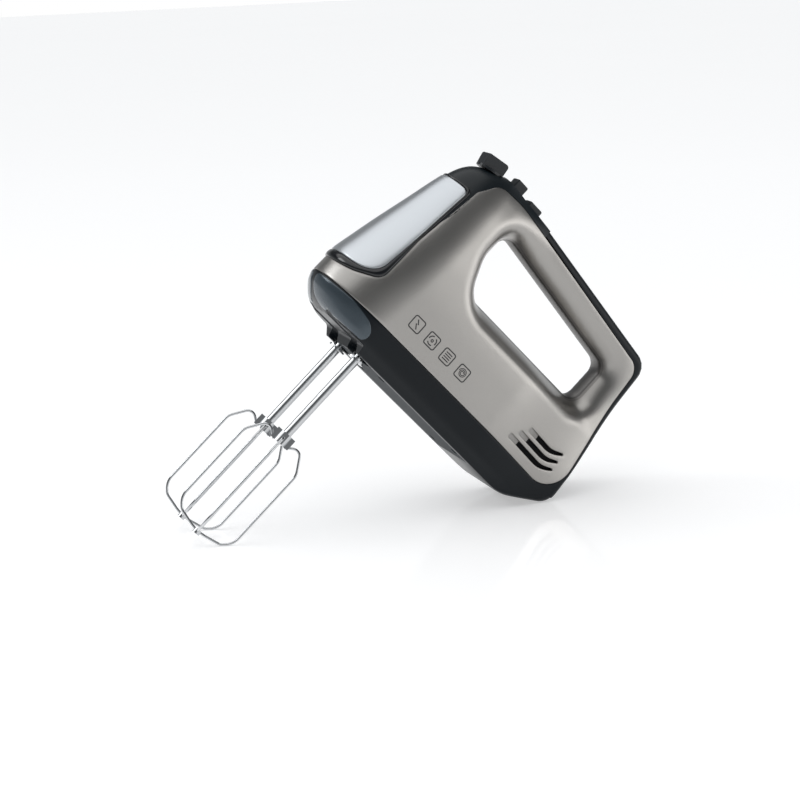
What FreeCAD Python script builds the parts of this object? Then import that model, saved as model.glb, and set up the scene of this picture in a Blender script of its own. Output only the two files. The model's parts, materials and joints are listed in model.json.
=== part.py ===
"""Hand mixer with two wire beaters, a looped handle and a worm-geared motor.

The mixer is drawn in its own frame: u runs forward to the nose, y across, w up to the handle. u = y = 0
lies midway between the two beater axes, and w = 0 is the underside. At the end every piece is turned
into the pose in which the mixer is put down, leaning on its beaters and its heel.
All sizes are millimetres and all angles degrees.
"""
import FreeCAD, Part

import json
import math
import os

from FreeCAD import Vector

# ---- casing -------------------------------------------------------------------------------------
BODY_TOP = 154.5             # crown of the top cap above the underside
NOSE_REACH = 55.0            # nose ahead of the beater axes
TAIL_REACH = 173.0           # rear face behind the beater axes, at the heel
BODY_HALF_WIDTH = 41.0       # at the belt line, where the shells meet the base
TAIL_HALF_WIDTH = 27.0
GRIP_HALF_WIDTH = 17.0
BELT_HEIGHT = 23.5           # top edge of the base tub
SPINE_DEPTH = 7.0            # dark strip round the top and the rear, seen from the side
TAIL_LEAN = 9.5              # how far the rear face leans forward from heel to handle
GRIP_DROP = 18.5             # how far the grip falls from the cap to the rear corner
HEEL_RADIUS = 13.0
REAR_CORNER_RADIUS = 12.0
WALL = 2.4                   # moulded walls

# ---- handle opening -----------------------------------------------------------------------------
HOLE_FRONT = -21.5
HOLE_REAR = -143.0
HOLE_FLOOR = 81.5
GRIP_THICKNESS = 23.5
HOLE_FRONT_RADIUS = 17.0
HOLE_REAR_RADIUS = 9.0
HOLE_EDGE_HALF_WIDTH = 9.0
# how far the dip has spread from the opening's edge at each half width
DIP = [(0, HOLE_EDGE_HALF_WIDTH), (1.2, 14), (4, 22), (8, 29.5), (14, 35.5), (26, 42)]

# ---- front cover --------------------------------------------------------------------------------
COVER_TOP = 127.0
COVER_BOTTOM = 41.0
COVER_PROUD = 0.9
COVER_THICKNESS = 2.0

# ---- beaters ------------------------------------------------------------------------------------
BEATER_SPACING = 38.0        # between the two beater axes
SHAFT_RADIUS = 3.0
SHAFT_INSERTION = 46.0       # how far the shaft reaches above the underside
FLANGE_HEIGHT = -2.0
FLANGE_RADIUS = 6.2
HUB_HEIGHT = -72.0           # middle of the hub that holds the wires
CAGE_RADIUS = 22.7
CAGE_LENGTH = 83.0           # from the hub to the tip
WIRE_RADIUS = 0.9
BEATER_PHASE = 67.5          # loops of both beaters, turned from the u axis
EJECT_TRAVEL = 5.0
RUNNING_CLEARANCE = 0.05

# ---- drive --------------------------------------------------------------------------------------
MOTOR_AXIS_HEIGHT = 40.0
GEAR_TEETH = 24
WORM_PITCH_RADIUS = 4.0
GEAR_PITCH_RADIUS = BEATER_SPACING / 2 - WORM_PITCH_RADIUS
WORM_LEAD = 2 * math.pi * GEAR_PITCH_RADIUS / GEAR_TEETH
WORM_LENGTH = 26.0
GEAR_FACE = 8.0
TOOTH_ADDENDUM = 0.9
TOOTH_DEDENDUM = 1.35
TOOTH_SHARE = 0.39           # of the pitch that a tooth, or the worm's thread, fills
SPINDLE_RADIUS = 6.0
SPINDLE_TOP = 60.0
POCKET_HEIGHT = 8.0          # top of the arched notches that the spindles open into
NOTCH_RADIUS = 8.5
NOSE_STEP = 10.0             # ahead of here the underside is raised, and the sockets show below it
NOSE_FLOOR = 6.0
MOTOR_SHAFT_RADIUS = 2.5
STACK_REAR = -80.0
STACK_FRONT = -50.0
STACK_HALF_WIDTH = 27.0
STACK_HALF_HEIGHT = 24.0
ARMATURE_RADIUS = 15.0
AIR_GAP = 0.6
COMMUTATOR = (-44.0, -32.0)
COMMUTATOR_RADIUS = 8.5

# ---- controls -----------------------------------------------------------------------------------
KNOB_U = 14.0
KNOB_LENGTH = 17.5
KNOB_WIDTH = 11.0
KNOB_TOP = 161.5
EJECT_U = -9.0
EJECT_LENGTH = 10.0
EJECT_WIDTH = 9.0
EJECT_TOP = 161.0
TURBO_U = -27.0
TURBO_LENGTH = 12.0
TURBO_WIDTH = 9.0
TURBO_TOP = 157.0
BUTTON_CLEARANCE = 0.3

MIDDLE = 70.0                # half width of any tool that cuts right across the mixer
PARTS = {}


# ---- small shape helpers ------------------------------------------------------------------------
def box(u0, u1, y0, y1, w0, w1):
    return Part.makeBox(u1 - u0, y1 - y0, w1 - w0, Vector(u0, y0, w0))


def post(u, y, w0, w1, radius):
    """Round bar that stands along w."""
    return Part.makeCylinder(radius, w1 - w0, Vector(u, y, w0), Vector(0, 0, 1))


def bar(u0, u1, radius, y=0.0, w=MOTOR_AXIS_HEIGHT):
    """Round bar that lies along u."""
    return Part.makeCylinder(radius, u1 - u0, Vector(u0, y, w), Vector(1, 0, 0))


def joined(shapes):
    whole = shapes[0]
    for shape in shapes[1:]:
        whole = whole.fuse(shape)
    return whole.removeSplitter()


def smooth(x):
    """Rises from 0 to 1 with level ends."""
    x = max(0.0, min(1.0, x))
    return x * x * (3 - 2 * x)


def through(points, x):
    """Smooth value at x of a curve through (x, value) points, with no overshoot."""
    if x <= points[0][0]:
        return points[0][1]
    if x >= points[-1][0]:
        return points[-1][1]
    slopes = [(b[1] - a[1]) / (b[0] - a[0]) for a, b in zip(points, points[1:])]
    tangents = [slopes[0]]
    for s0, s1 in zip(slopes, slopes[1:]):
        tangents.append(0.0 if s0 * s1 <= 0 else 2 * s0 * s1 / (s0 + s1))
    tangents.append(slopes[-1])
    i = max(k for k in range(len(slopes)) if points[k][0] <= x)
    (x0, y0), (x1, y1) = points[i], points[i + 1]
    h = x1 - x0
    t = (x - x0) / h
    level = y0 * (1 + 2 * t) * (1 - t) ** 2 + y1 * t * t * (3 - 2 * t)
    return level + h * t * (1 - t) * (tangents[i] * (1 - t) - tangents[i + 1] * t)


def rounded(corners):
    """Closed wire in the u-w plane through (u, w, radius) corners."""
    n = len(corners)
    points = [Vector(u, 0, w) for u, w, r in corners]
    ends = []
    for i, (u, w, r) in enumerate(corners):
        p = points[i]
        a = (points[i - 1] - p).normalize()
        b = (points[(i + 1) % n] - p).normalize()
        if r <= 0:
            ends.append((p, None, p))
            continue
        half = a.getAngle(b) / 2
        reach = r / math.tan(half)
        inward = (a + b).normalize()
        ends.append((p + a * reach, p + inward * (r / math.sin(half) - r), p + b * reach))
    edges = []
    for i in range(n):
        start, middle, end = ends[i]
        if middle is not None:
            edges.append(Part.Arc(start, middle, end).toShape())
        following = ends[(i + 1) % n][0]
        if end.distanceToPoint(following) > 1e-6:
            edges.append(Part.LineSegment(end, following).toShape())
    return Part.Wire(edges)


def across(wire, y0=-MIDDLE, y1=MIDDLE):
    """Solid that fills a u-w wire from y0 to y1."""
    face = Part.Face(wire)
    face.translate(Vector(0, y0, 0))
    return face.extrude(Vector(0, y1 - y0, 0))


def grown(wire, distance):
    """The wire moved outward, or inward if distance is negative, keeping its round corners."""
    return wire.makeOffset2D(distance) if distance else wire


def spring(radius, wire, height, turns):
    """Helical spring standing on w = 0 round the w axis."""
    helix = Part.makeHelix(height / turns, height, radius)
    section = Part.Wire(Part.makeCircle(wire, Vector(radius, 0, 0), Vector(0, 1, 0)))
    return Part.Wire(helix).makePipeShell([section], True, True)


# ---- outer form ---------------------------------------------------------------------------------
# half width at the widest place of each level, and how far forward the nose reaches there
WIDTHS = [
    (0, BODY_HALF_WIDTH - 9.0), (4, BODY_HALF_WIDTH - 5.4), (8, BODY_HALF_WIDTH - 1.8),
    (10, BODY_HALF_WIDTH - 0.9), (BELT_HEIGHT, BODY_HALF_WIDTH), (50, BODY_HALF_WIDTH - 1),
    (80, BODY_HALF_WIDTH - 4.5),
    (105, BODY_HALF_WIDTH - 9.5), (125, BODY_HALF_WIDTH - 14), (140, BODY_HALF_WIDTH - 20),
    (148, BODY_HALF_WIDTH - 25), (156, BODY_HALF_WIDTH - 33),
]
NOSES = [
    (0, NOSE_REACH - 29), (NOSE_FLOOR, NOSE_REACH - 20), (8, NOSE_REACH - 13), (13, NOSE_REACH - 6),
    (18, NOSE_REACH - 1.8),
    (BELT_HEIGHT, NOSE_REACH), (36, NOSE_REACH - 0.2), (60, NOSE_REACH - 4.7),
    (100, NOSE_REACH - 14.4), (COVER_TOP, NOSE_REACH - 21.2), (138, NOSE_REACH - 25.5),
    (145, NOSE_REACH - 31), (150, NOSE_REACH - 39), (156, NOSE_REACH - 55),
]
LEVELS = [0, 1.5, 3, 4.5, 6, 9, 13, 18, 24, 34, 46, 60, 75, 90, 105, 118, 128, 136, 141, 145, 149, 153, 157]
NOSE_STEPS = 9
SIDE_STEPS = 16


def half_section(w, inset):
    """(u, y) points of one level from the nose's tip round to behind the rear face."""
    width = through(WIDTHS, w) - inset
    nose = through(NOSES, w) - inset
    centre = min(10 - 12 * smooth(w / 130.0), nose - 6)
    rear_width = TAIL_HALF_WIDTH + (GRIP_HALF_WIDTH - TAIL_HALF_WIDTH) * smooth((w - 30) / 75.0) - inset
    knee = -90 + 80 * smooth((w - 70) / 40.0)
    run = 80 - 35 * smooth((w - 70) / 40.0)
    points = []
    for k in range(NOSE_STEPS):
        turn = math.radians(90.0 * k / (NOSE_STEPS - 1))
        points.append((centre + (nose - centre) * math.cos(turn), width * math.sin(turn)))
    behind = -TAIL_REACH - 10
    for k in range(1, SIDE_STEPS + 1):
        u = centre + (behind - centre) * k / SIDE_STEPS
        share = 1 - smooth((knee - u) / run)
        points.append((u, rear_width + (width - rear_width) * share))
    return points


def skin(inset):
    """Closed solid inside the smooth outer form, before the handle and the tail are cut."""
    rows = []
    for w in LEVELS:
        half = half_section(w, inset)
        rows.append([Vector(u, -y, w) for u, y in reversed(half)] + [Vector(u, y, w) for u, y in half[1:]])
    surface = Part.BSplineSurface()
    surface.interpolate(rows)
    side = surface.toShape()
    ends = []
    for row in (rows[0], rows[-1]):
        rim = next(e for e in side.Edges if all(abs(v.Z - row[0].z) < 1e-6 for v in e.Vertexes))
        ends.append(Part.Face(Part.Wire([rim, Part.makeLine(row[-1], row[0])])))
    behind = rows[0][0].x
    rims = [e for e in side.Edges if all(abs(v.X - behind) < 1e-6 for v in e.Vertexes) and e.Length > 50
            and abs(e.Vertexes[0].Z - e.Vertexes[1].Z) > 50]
    back = Part.Face(Part.Wire(Part.__sortEdges__([
        *rims, Part.makeLine(rows[0][0], rows[0][-1]), Part.makeLine(rows[-1][0], rows[-1][-1])])))
    shell = Part.Shell([side, *ends, back])
    shell.sewShape()
    return Part.Solid(shell)


def profile():
    """Side outline of the whole body: crown, rear corner and heel. The skin itself ends it at the nose."""
    return rounded([
        (NOSE_REACH + 20, NOSE_FLOOR, 0), (NOSE_REACH + 20, BODY_TOP, 0), (0, BODY_TOP, 90),
        (-TAIL_REACH + TAIL_LEAN, BODY_TOP - GRIP_DROP, REAR_CORNER_RADIUS),
        (-TAIL_REACH, BELT_HEIGHT - 4, HEEL_RADIUS), (-TAIL_REACH + 34, 0, 30),
        (NOSE_STEP, 0, 1.5), (NOSE_STEP + 3, NOSE_FLOOR, 2),
    ])


def grip_roof(u):
    """Height of the opening's roof, one grip thickness under the crown line."""
    slope = GRIP_DROP / (TAIL_REACH - TAIL_LEAN)
    return BODY_TOP - GRIP_THICKNESS + slope * min(u, 0)


def handle_hole():
    return rounded([
        (HOLE_FRONT, HOLE_FLOOR + 24, 20), (HOLE_FRONT - 10, HOLE_FLOOR, HOLE_FRONT_RADIUS),
        (HOLE_REAR, HOLE_FLOOR, HOLE_REAR_RADIUS), (HOLE_REAR, grip_roof(HOLE_REAR), HOLE_REAR_RADIUS),
        (HOLE_FRONT - 1, grip_roof(HOLE_FRONT), HOLE_FRONT_RADIUS - 8),
    ])


def casing(inset):
    """The whole body moved in by inset, with its handle opening."""
    whole = skin(inset)
    if inset > 0:
        whole = whole.common(box(-300, 300, -MIDDLE, MIDDLE, inset, 300))
    whole = whole.common(across(grown(profile(), -inset)))
    whole = whole.cut(across(grown(handle_hole(), inset)))
    for side in (1, -1):
        whole = whole.cut(dip(inset, side))
    return whole


def dip(inset, side):
    """Funnel that eases one side of the body down to the narrow edge of the handle opening."""
    sections = []
    for spread, y in DIP:
        wire = grown(handle_hole(), spread + inset)
        wire.translate(Vector(0, side * (y - inset), 0))
        sections.append(wire)
    return Part.makeLoft(sections, True)


# ---- where the mouldings part, all drawn in the u-w plane ---------------------------------------
FAR = NOSE_REACH + 20


def cover_outline():
    return rounded([
        (FAR, COVER_BOTTOM, 0), (35.8, COVER_BOTTOM, 16), (22, COVER_TOP, 3), (FAR, COVER_TOP, 0),
    ])


def seal_outline():
    bottom = COVER_BOTTOM - 6.5
    return rounded([
        (FAR, bottom, 0), (50, bottom, 30), (30.8, COVER_BOTTOM + 4, 9), (28.3, 80, 60),
        (20, COVER_TOP + 2, 3), (FAR, COVER_TOP + 2, 0),
    ])


def shell_outline():
    """Edge of the metallic shells: the belt line, then inside the dark strip round the rear and top."""
    rear = -TAIL_REACH
    return rounded([
        (FAR, BELT_HEIGHT, 0), (rear + 3.6, BELT_HEIGHT, 19),
        (rear + TAIL_LEAN + 5, BODY_TOP - GRIP_DROP - SPINE_DEPTH + 1, 11),
        (-14, BODY_TOP - SPINE_DEPTH + 0.4, 60), (7, BODY_TOP - SPINE_DEPTH - 1, 14),
        (18, 130, 20), (20.8, COVER_TOP - 17, 25), (26, COVER_TOP - 33, 0), (FAR, COVER_TOP - 33, 0),
    ])


def cap_outline():
    """Top cap: from the cover back to a seam behind the turbo button."""
    return rounded([(FAR, 90, 0), (TURBO_U - 14, 90, 0), (TURBO_U - 14, 200, 0), (FAR, 200, 0)])


def panel_outline():
    """Grey window in the nose: low at the front, its rear end slanting down and back."""
    top = BELT_HEIGHT - 1.2
    return rounded([
        (FAR, 12.5, 0), (51, 12.5, 3), (43.5, 5.8, 8), (8, 7.2, 2.5), (20.5, top, 8), (46, top, 12),
        (54, top - 2, 0), (FAR, top - 2, 0),
    ])


# ---- positions shared by several pieces ---------------------------------------------------------
SIDES = {"left": 1, "right": -1}
HALF_SPACING = BEATER_SPACING / 2
GEAR_TIP_RADIUS = GEAR_PITCH_RADIUS + TOOTH_ADDENDUM
FRONT_BLOCK = (17.0, 22.0)           # bearing walls of the gearbox, from u to u
MIDDLE_BLOCK = (-26.0, -21.0)
REAR_BLOCK = (-98.0, -93.0)
LOWER_DECK = (14.0, 17.5)            # gearbox decks, from w to w
UPPER_DECK = (53.0, 56.0)
BEARING_RADIUS = 6.5
FLOOR = WALL
FRONT_FOOT = 30.0                    # post between the two notches that carries the lower deck
SCREWS = [(-152, 56), (-151, 108), (12, 92), (-100, 70.5), (-80, 134)]
SCREW_RADIUS = 1.5
BOSS_RADIUS = 4.0
INLET_HEIGHT = 70.0
INLET_RADIUS = 7.0
CORD_RADIUS = 3.8
KNOB_TILT = 11.0
KNOB_SEAT = 149.6                    # height of the knob's flat round seat, on the knob's axis
KNOB_SEAT_RADIUS = 10.9
EJECT_PLATE = (66.0, 69.0)


def beater_axes():
    return [(name, side * HALF_SPACING) for name, side in SIDES.items()]


def tilted(shape):
    """Turn a knob part drawn upright at u = 0, w = 0 onto the sloping seat of the cap."""
    shape = shape.copy()
    shape.rotate(Vector(0, 0, 0), Vector(0, 1, 0), KNOB_TILT)
    shape.translate(Vector(KNOB_U, 0, KNOB_SEAT))
    return shape


# ---- casing pieces ------------------------------------------------------------------------------
def tunnel(y, radius):
    """Arched notch through the nose that the spindle opens into."""
    return bar(-radius, 80, radius, y, POCKET_HEIGHT - NOTCH_RADIUS)


def add_casing():
    outer = casing(0)
    inner = casing(WALL)
    wall = outer.cut(inner)
    inlet = bar(-TAIL_REACH - 9, -TAIL_REACH + 14, INLET_RADIUS, 0, INLET_HEIGHT)
    wall = wall.cut(inlet)
    seal = across(seal_outline())
    shell = across(shell_outline())
    cap = across(cap_outline())
    below = box(-300, 300, -MIDDLE, MIDDLE, -5, BELT_HEIGHT)
    add_base(outer, inner)
    upper = wall.cut(below).cut(seal)
    add_shells(upper.common(shell), inner)
    strip = upper.cut(shell)
    PARTS["handle_spine"] = strip.cut(cap)
    add_top_cap(strip.common(cap), outer)
    add_cover()
    PARTS["cord_inlet_bush"] = inlet.common(outer).cut(
        bar(-TAIL_REACH - 9, -TAIL_REACH + 30, CORD_RADIUS, 0, INLET_HEIGHT))


def add_base(outer, inner):
    """Base tub with the arched notches and its feet, the nose panel and the closing plate."""
    low = box(-300, 300, -MIDDLE, MIDDLE, -5, BELT_HEIGHT)
    block = outer.common(low)
    hollow = inner.common(low)
    for _, y in beater_axes():
        hollow = hollow.cut(tunnel(y, NOTCH_RADIUS + WALL))
    for foot in feet():
        hollow = hollow.cut(foot)
    panel = across(panel_outline()).common(block).cut(skin(WALL))
    plate = box(-106, NOSE_STEP - 5, -27, 27, 0, 1.2).common(block)
    tub = block.cut(hollow).cut(panel).cut(plate)
    for _, y in beater_axes():
        for notch in (tunnel(y, NOTCH_RADIUS), post(0, y, 0, 20, SPINDLE_RADIUS + 0.5)):
            tub = tub.cut(notch)
            panel = panel.cut(notch)
            plate = plate.cut(notch)
    for u in (-96, -22):
        for side in (1, -1):
            plate = plate.cut(post(u, side * 20, -1, 0.7, 2.8))
    PARTS["base_tub"] = tub
    PARTS["nose_panel"] = panel
    PARTS["bottom_plate"] = plate


def feet():
    """Posts on the tub's floor for the gearbox, the rear motor bracket and the circuit board."""
    posts = [post(FRONT_FOOT, 0, FLOOR, LOWER_DECK[0], 3.5)]
    posts += [box(*REAR_BLOCK, side * 18 - 4, side * 18 + 4, FLOOR, 8) for side in (1, -1)]
    posts += [post(u, side * 14, FLOOR - 1, 14, 2.5) for u in (-128, -144) for side in (1, -1)]
    return posts


def vents():
    """Three slots low at the rear, one above the other, that bend up and taper to the rear."""
    slots = []
    for k in range(3):
        front = -118.8 + 4.95 * k
        rear = -155.5 - 0.5 * k
        w = 45.0 - 6.3 * k
        slots.append(across(rounded([
            (front, w + 1.7, 1.4), (front, w - 1.7, 1.4), (rear + 10, w - 1.7, 24),
            (rear, w + 4.4, 0.4), (rear + 0.8, w + 5.6, 0.4), (rear + 10.5, w + 1.7, 22)])))
    return slots


def crossbar(u, w, y0, y1, radius):
    """Round bar that lies across the mixer."""
    return Part.makeCylinder(radius, y1 - y0, Vector(u, y0, w), Vector(0, 1, 0))


def add_shells(wall, inner):
    bosses = [crossbar(u, w, -MIDDLE, MIDDLE, BOSS_RADIUS).common(inner) for u, w in SCREWS]
    holes = []
    for u, w in SCREWS:
        holes.append(crossbar(u, w, -16, 12, SCREW_RADIUS))
        holes.append(crossbar(u, w, -MIDDLE - 14, -14, SCREW_RADIUS + 1.5))
    shells = joined([wall, *bosses])
    for cutter in vents() + holes:
        shells = shells.cut(cutter)
    PARTS["left_shell"] = shells.common(box(-300, 300, 0, MIDDLE, 0, 300))
    PARTS["right_shell"] = shells.common(box(-300, 300, -MIDDLE, 0, 0, 300))
    screws = []
    for u, w in SCREWS:
        shank = crossbar(u, w, -14, 12, SCREW_RADIUS)
        head = crossbar(u, w, -15.8, -14, SCREW_RADIUS + 1.2)
        screws.append(joined([shank, head]))
    PARTS["shell_screws"] = Part.makeCompound(screws)


def button_well(u, length, width, low):
    """Opening in the cap round one button."""
    reach, side = length / 2 + BUTTON_CLEARANCE, width / 2 + BUTTON_CLEARANCE
    return box(u - reach, u + reach, -side, side, low, 170)


def add_top_cap(strip, outer):
    seat = tilted(post(0, 0, -9, 0, KNOB_SEAT_RADIUS + 1.2))
    hanger = [box(4, 24, side * 11.5 - 1.2, side * 11.5 + 1.2, 124, 150) for side in (1, -1)]
    hanger += [box(EJECT_U - 7, EJECT_U + 7, side * 6.5 - 1, side * 6.5 + 1, 122, 152) for side in (1, -1)]
    hanger += [box(EJECT_U - 7, EJECT_U + 7, -7.5, 7.5, 122, 124.4)]
    hanger += [box(TURBO_U - 9, TURBO_U + 9, side * 6 - 1, side * 6 + 1, 134, 152) for side in (1, -1)]
    inside = casing(1.2)
    cap = joined([strip, *[h.common(inside) for h in hanger], seat.common(outer)])
    cap = cap.cut(tilted(post(0, 0, 0, 30, KNOB_SEAT_RADIUS)))
    cap = cap.cut(tilted(post(0, 0, -30, 10, 3.3)))
    cap = cap.cut(button_well(EJECT_U, EJECT_LENGTH, EJECT_WIDTH, 147))
    cap = cap.cut(post(EJECT_U, 0, 100, 170, 2.4))
    cap = cap.cut(button_well(TURBO_U, TURBO_LENGTH, TURBO_WIDTH, 146))
    PARTS["top_cap"] = cap


def add_cover():
    """Silver front cover and the glossy seal that frames it, both proud of the shells."""
    cover = across(cover_outline())
    band = across(seal_outline()).cut(cover)
    band = band.common(box(-300, 300, -MIDDLE, MIDDLE, 0, COVER_TOP + 2))
    limit = across(profile())
    PARTS["front_cover_seal"] = skin(-0.4).common(band).cut(skin(WALL))
    plate = skin(-COVER_PROUD).common(cover).cut(skin(COVER_THICKNESS - COVER_PROUD))
    PARTS["front_cover"] = plate.common(limit)


# ---- beaters ------------------------------------------------------------------------------------
def lowest_end(edge):
    return min(v.Z for v in edge.Vertexes)


def wire_loop(turn):
    """One closed whisk wire, lying in a plane turned about w."""
    hub = HUB_HEIGHT
    tip = hub - CAGE_LENGTH + 1.5
    half = [(4.5, hub - 4, 0), (13.5, hub + 2.5, 5), (CAGE_RADIUS, hub - 12, 10),
            (CAGE_RADIUS, tip + 10, 12), (CAGE_RADIUS * 0.74, tip + 4, 6)]
    corners = half + [(0, tip, 30)] + [(-u, w, r) for u, w, r in reversed(half)]
    closing = hub - 30
    wires = rounded(corners + [(-4.5, closing, 0), (4.5, closing, 0)])
    path = Part.Wire([e for e in wires.Edges if abs(lowest_end(e) - closing) > 1])
    start = path.OrderedVertexes[0].Point
    ahead = path.OrderedEdges[0].tangentAt(path.OrderedEdges[0].FirstParameter)
    section = Part.Wire(Part.makeCircle(WIRE_RADIUS, start, ahead))
    loop = path.makePipeShell([section], True, True)
    loop.rotate(Vector(0, 0, 0), Vector(0, 0, 1), turn)
    return loop


def add_beaters():
    for name, y in beater_axes():
        loops = [wire_loop(BEATER_PHASE), wire_loop(BEATER_PHASE + 90)]
        tip = post(0, 0, HUB_HEIGHT - CAGE_LENGTH + 0.2, HUB_HEIGHT - CAGE_LENGTH + 3.4, 2.6)
        cage = joined([*loops, tip])
        hub = post(0, 0, HUB_HEIGHT - 4, HUB_HEIGHT + 4, 4.6)
        arm = box(-7.2, 7.2, -2, 2, HUB_HEIGHT - 4, HUB_HEIGHT + 4)
        arms = [arm.copy(), arm.copy()]
        for k, piece in enumerate(arms):
            piece.rotate(Vector(0, 0, 0), Vector(0, 0, 1), BEATER_PHASE + 90 * k)
        hub = joined([hub, *arms]).cut(post(0, 0, HUB_HEIGHT - 4, HUB_HEIGHT + 4, SHAFT_RADIUS)).cut(cage)
        shaft = joined([post(0, 0, HUB_HEIGHT - 4, SHAFT_INSERTION, SHAFT_RADIUS), *flange_and_fins()])
        for piece, solid in (("wires", cage), ("hub", hub), ("shaft", shaft)):
            solid = solid.copy()
            solid.translate(Vector(0, y, 0))
            PARTS["beater_%s_%s" % (name, piece)] = solid


def flange_and_fins():
    pieces = [post(0, 0, FLANGE_HEIGHT - 1.2, FLANGE_HEIGHT, FLANGE_RADIUS)]
    for turn in (0, 90):
        fin = box(-4.4, 4.4, -0.7, 0.7, FLANGE_HEIGHT, POCKET_HEIGHT + 1)
        fin.rotate(Vector(0, 0, 0), Vector(0, 0, 1), turn)
        pieces.append(fin)
    return pieces


# ---- gearing ------------------------------------------------------------------------------------
def spindle():
    """Hollow drive spindle with a slotted mouth for the beater's fins."""
    mouth = POCKET_HEIGHT - 3
    tube = post(0, 0, mouth, SPINDLE_TOP, SPINDLE_RADIUS)
    tube = joined([tube, post(0, 0, LOWER_DECK[1] + 0.3, LOWER_DECK[1] + 2, SPINDLE_RADIUS + 1.5)])
    tube = tube.cut(post(0, 0, mouth, SPINDLE_TOP, SHAFT_RADIUS + RUNNING_CLEARANCE))
    for turn in (0, 90):
        slot = box(-4.9, 4.9, -1.1, 1.1, mouth, POCKET_HEIGHT + 1.6)
        slot.rotate(Vector(0, 0, 0), Vector(0, 0, 1), turn)
        tube = tube.cut(slot)
    return tube


def gear_section(phase, w):
    """Outline of the toothed wheel at one height; phase turns a tooth from the u axis."""
    pitch = 360.0 / GEAR_TEETH
    points = []
    for k in range(GEAR_TEETH):
        middle = phase + k * pitch
        for share, radius in ((-1.55, GEAR_PITCH_RADIUS - TOOTH_DEDENDUM), (-0.62, GEAR_TIP_RADIUS),
                              (0.62, GEAR_TIP_RADIUS), (1.55, GEAR_PITCH_RADIUS - TOOTH_DEDENDUM)):
            turn = math.radians(middle + share * TOOTH_SHARE * pitch / 2)
            points.append(Vector(radius * math.cos(turn), radius * math.sin(turn), w))
    return Part.makePolygon(points + points[:1])


def gear(phase):
    """Helical wheel, its teeth leaning with the worm's lead."""
    face = GEAR_FACE
    twist = math.degrees(math.atan(WORM_LEAD / (2 * math.pi * WORM_PITCH_RADIUS)))
    twist = math.degrees(face * math.tan(math.radians(twist)) / GEAR_PITCH_RADIUS)
    rims = [gear_section(phase - twist / 2, MOTOR_AXIS_HEIGHT - face / 2),
            gear_section(phase + twist / 2, MOTOR_AXIS_HEIGHT + face / 2)]
    blank = Part.makeLoft(rims, True, True)
    return blank.cut(post(0, 0, MOTOR_AXIS_HEIGHT - face, MOTOR_AXIS_HEIGHT + face, SPINDLE_RADIUS))


def add_gearing():
    half_pitch = 180.0 / GEAR_TEETH
    for name, y in beater_axes():
        tube = spindle()
        # a gap of the left wheel and a tooth of the right wheel face the worm
        wheel = gear(-90 + half_pitch) if y > 0 else gear(90)
        for piece, solid in (("spindle", tube), ("worm_wheel", wheel)):
            solid.translate(Vector(0, y, 0))
            PARTS["%s_%s" % (piece, name)] = solid
    PARTS["worm"] = worm()


def worm():
    half = WORM_LENGTH / 2
    root = WORM_PITCH_RADIUS - TOOTH_DEDENDUM
    tip = WORM_PITCH_RADIUS + TOOTH_ADDENDUM
    thick = TOOTH_SHARE * WORM_LEAD
    length = WORM_LENGTH - 4 - thick
    helix = Part.makeHelix(WORM_LEAD, length, WORM_PITCH_RADIUS)
    sunk = root - 0.3
    section = Part.makePolygon([
        Vector(sunk, 0, -thick * 0.8), Vector(tip, 0, -thick * 0.31), Vector(tip, 0, thick * 0.31),
        Vector(sunk, 0, thick * 0.8), Vector(sunk, 0, -thick * 0.8)])
    thread = Part.Wire(helix).makePipeShell([section], True, True)
    # the thread passes the +y side at u = 0
    turns = length / 2 / WORM_LEAD
    thread.translate(Vector(0, 0, -length / 2))
    thread.rotate(Vector(0, 0, 0), Vector(0, 0, 1), 90 - 360 * turns)
    core = Part.makeCylinder(root, WORM_LENGTH, Vector(0, 0, -half), Vector(0, 0, 1))
    whole = core.fuse(thread).cut(Part.makeCylinder(FRONT_SHAFT, WORM_LENGTH, Vector(0, 0, -half)))
    whole.rotate(Vector(0, 0, 0), Vector(0, 1, 0), 90)
    whole.translate(Vector(0, 0, MOTOR_AXIS_HEIGHT))
    return whole


FRONT_SHAFT = 1.8


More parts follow.
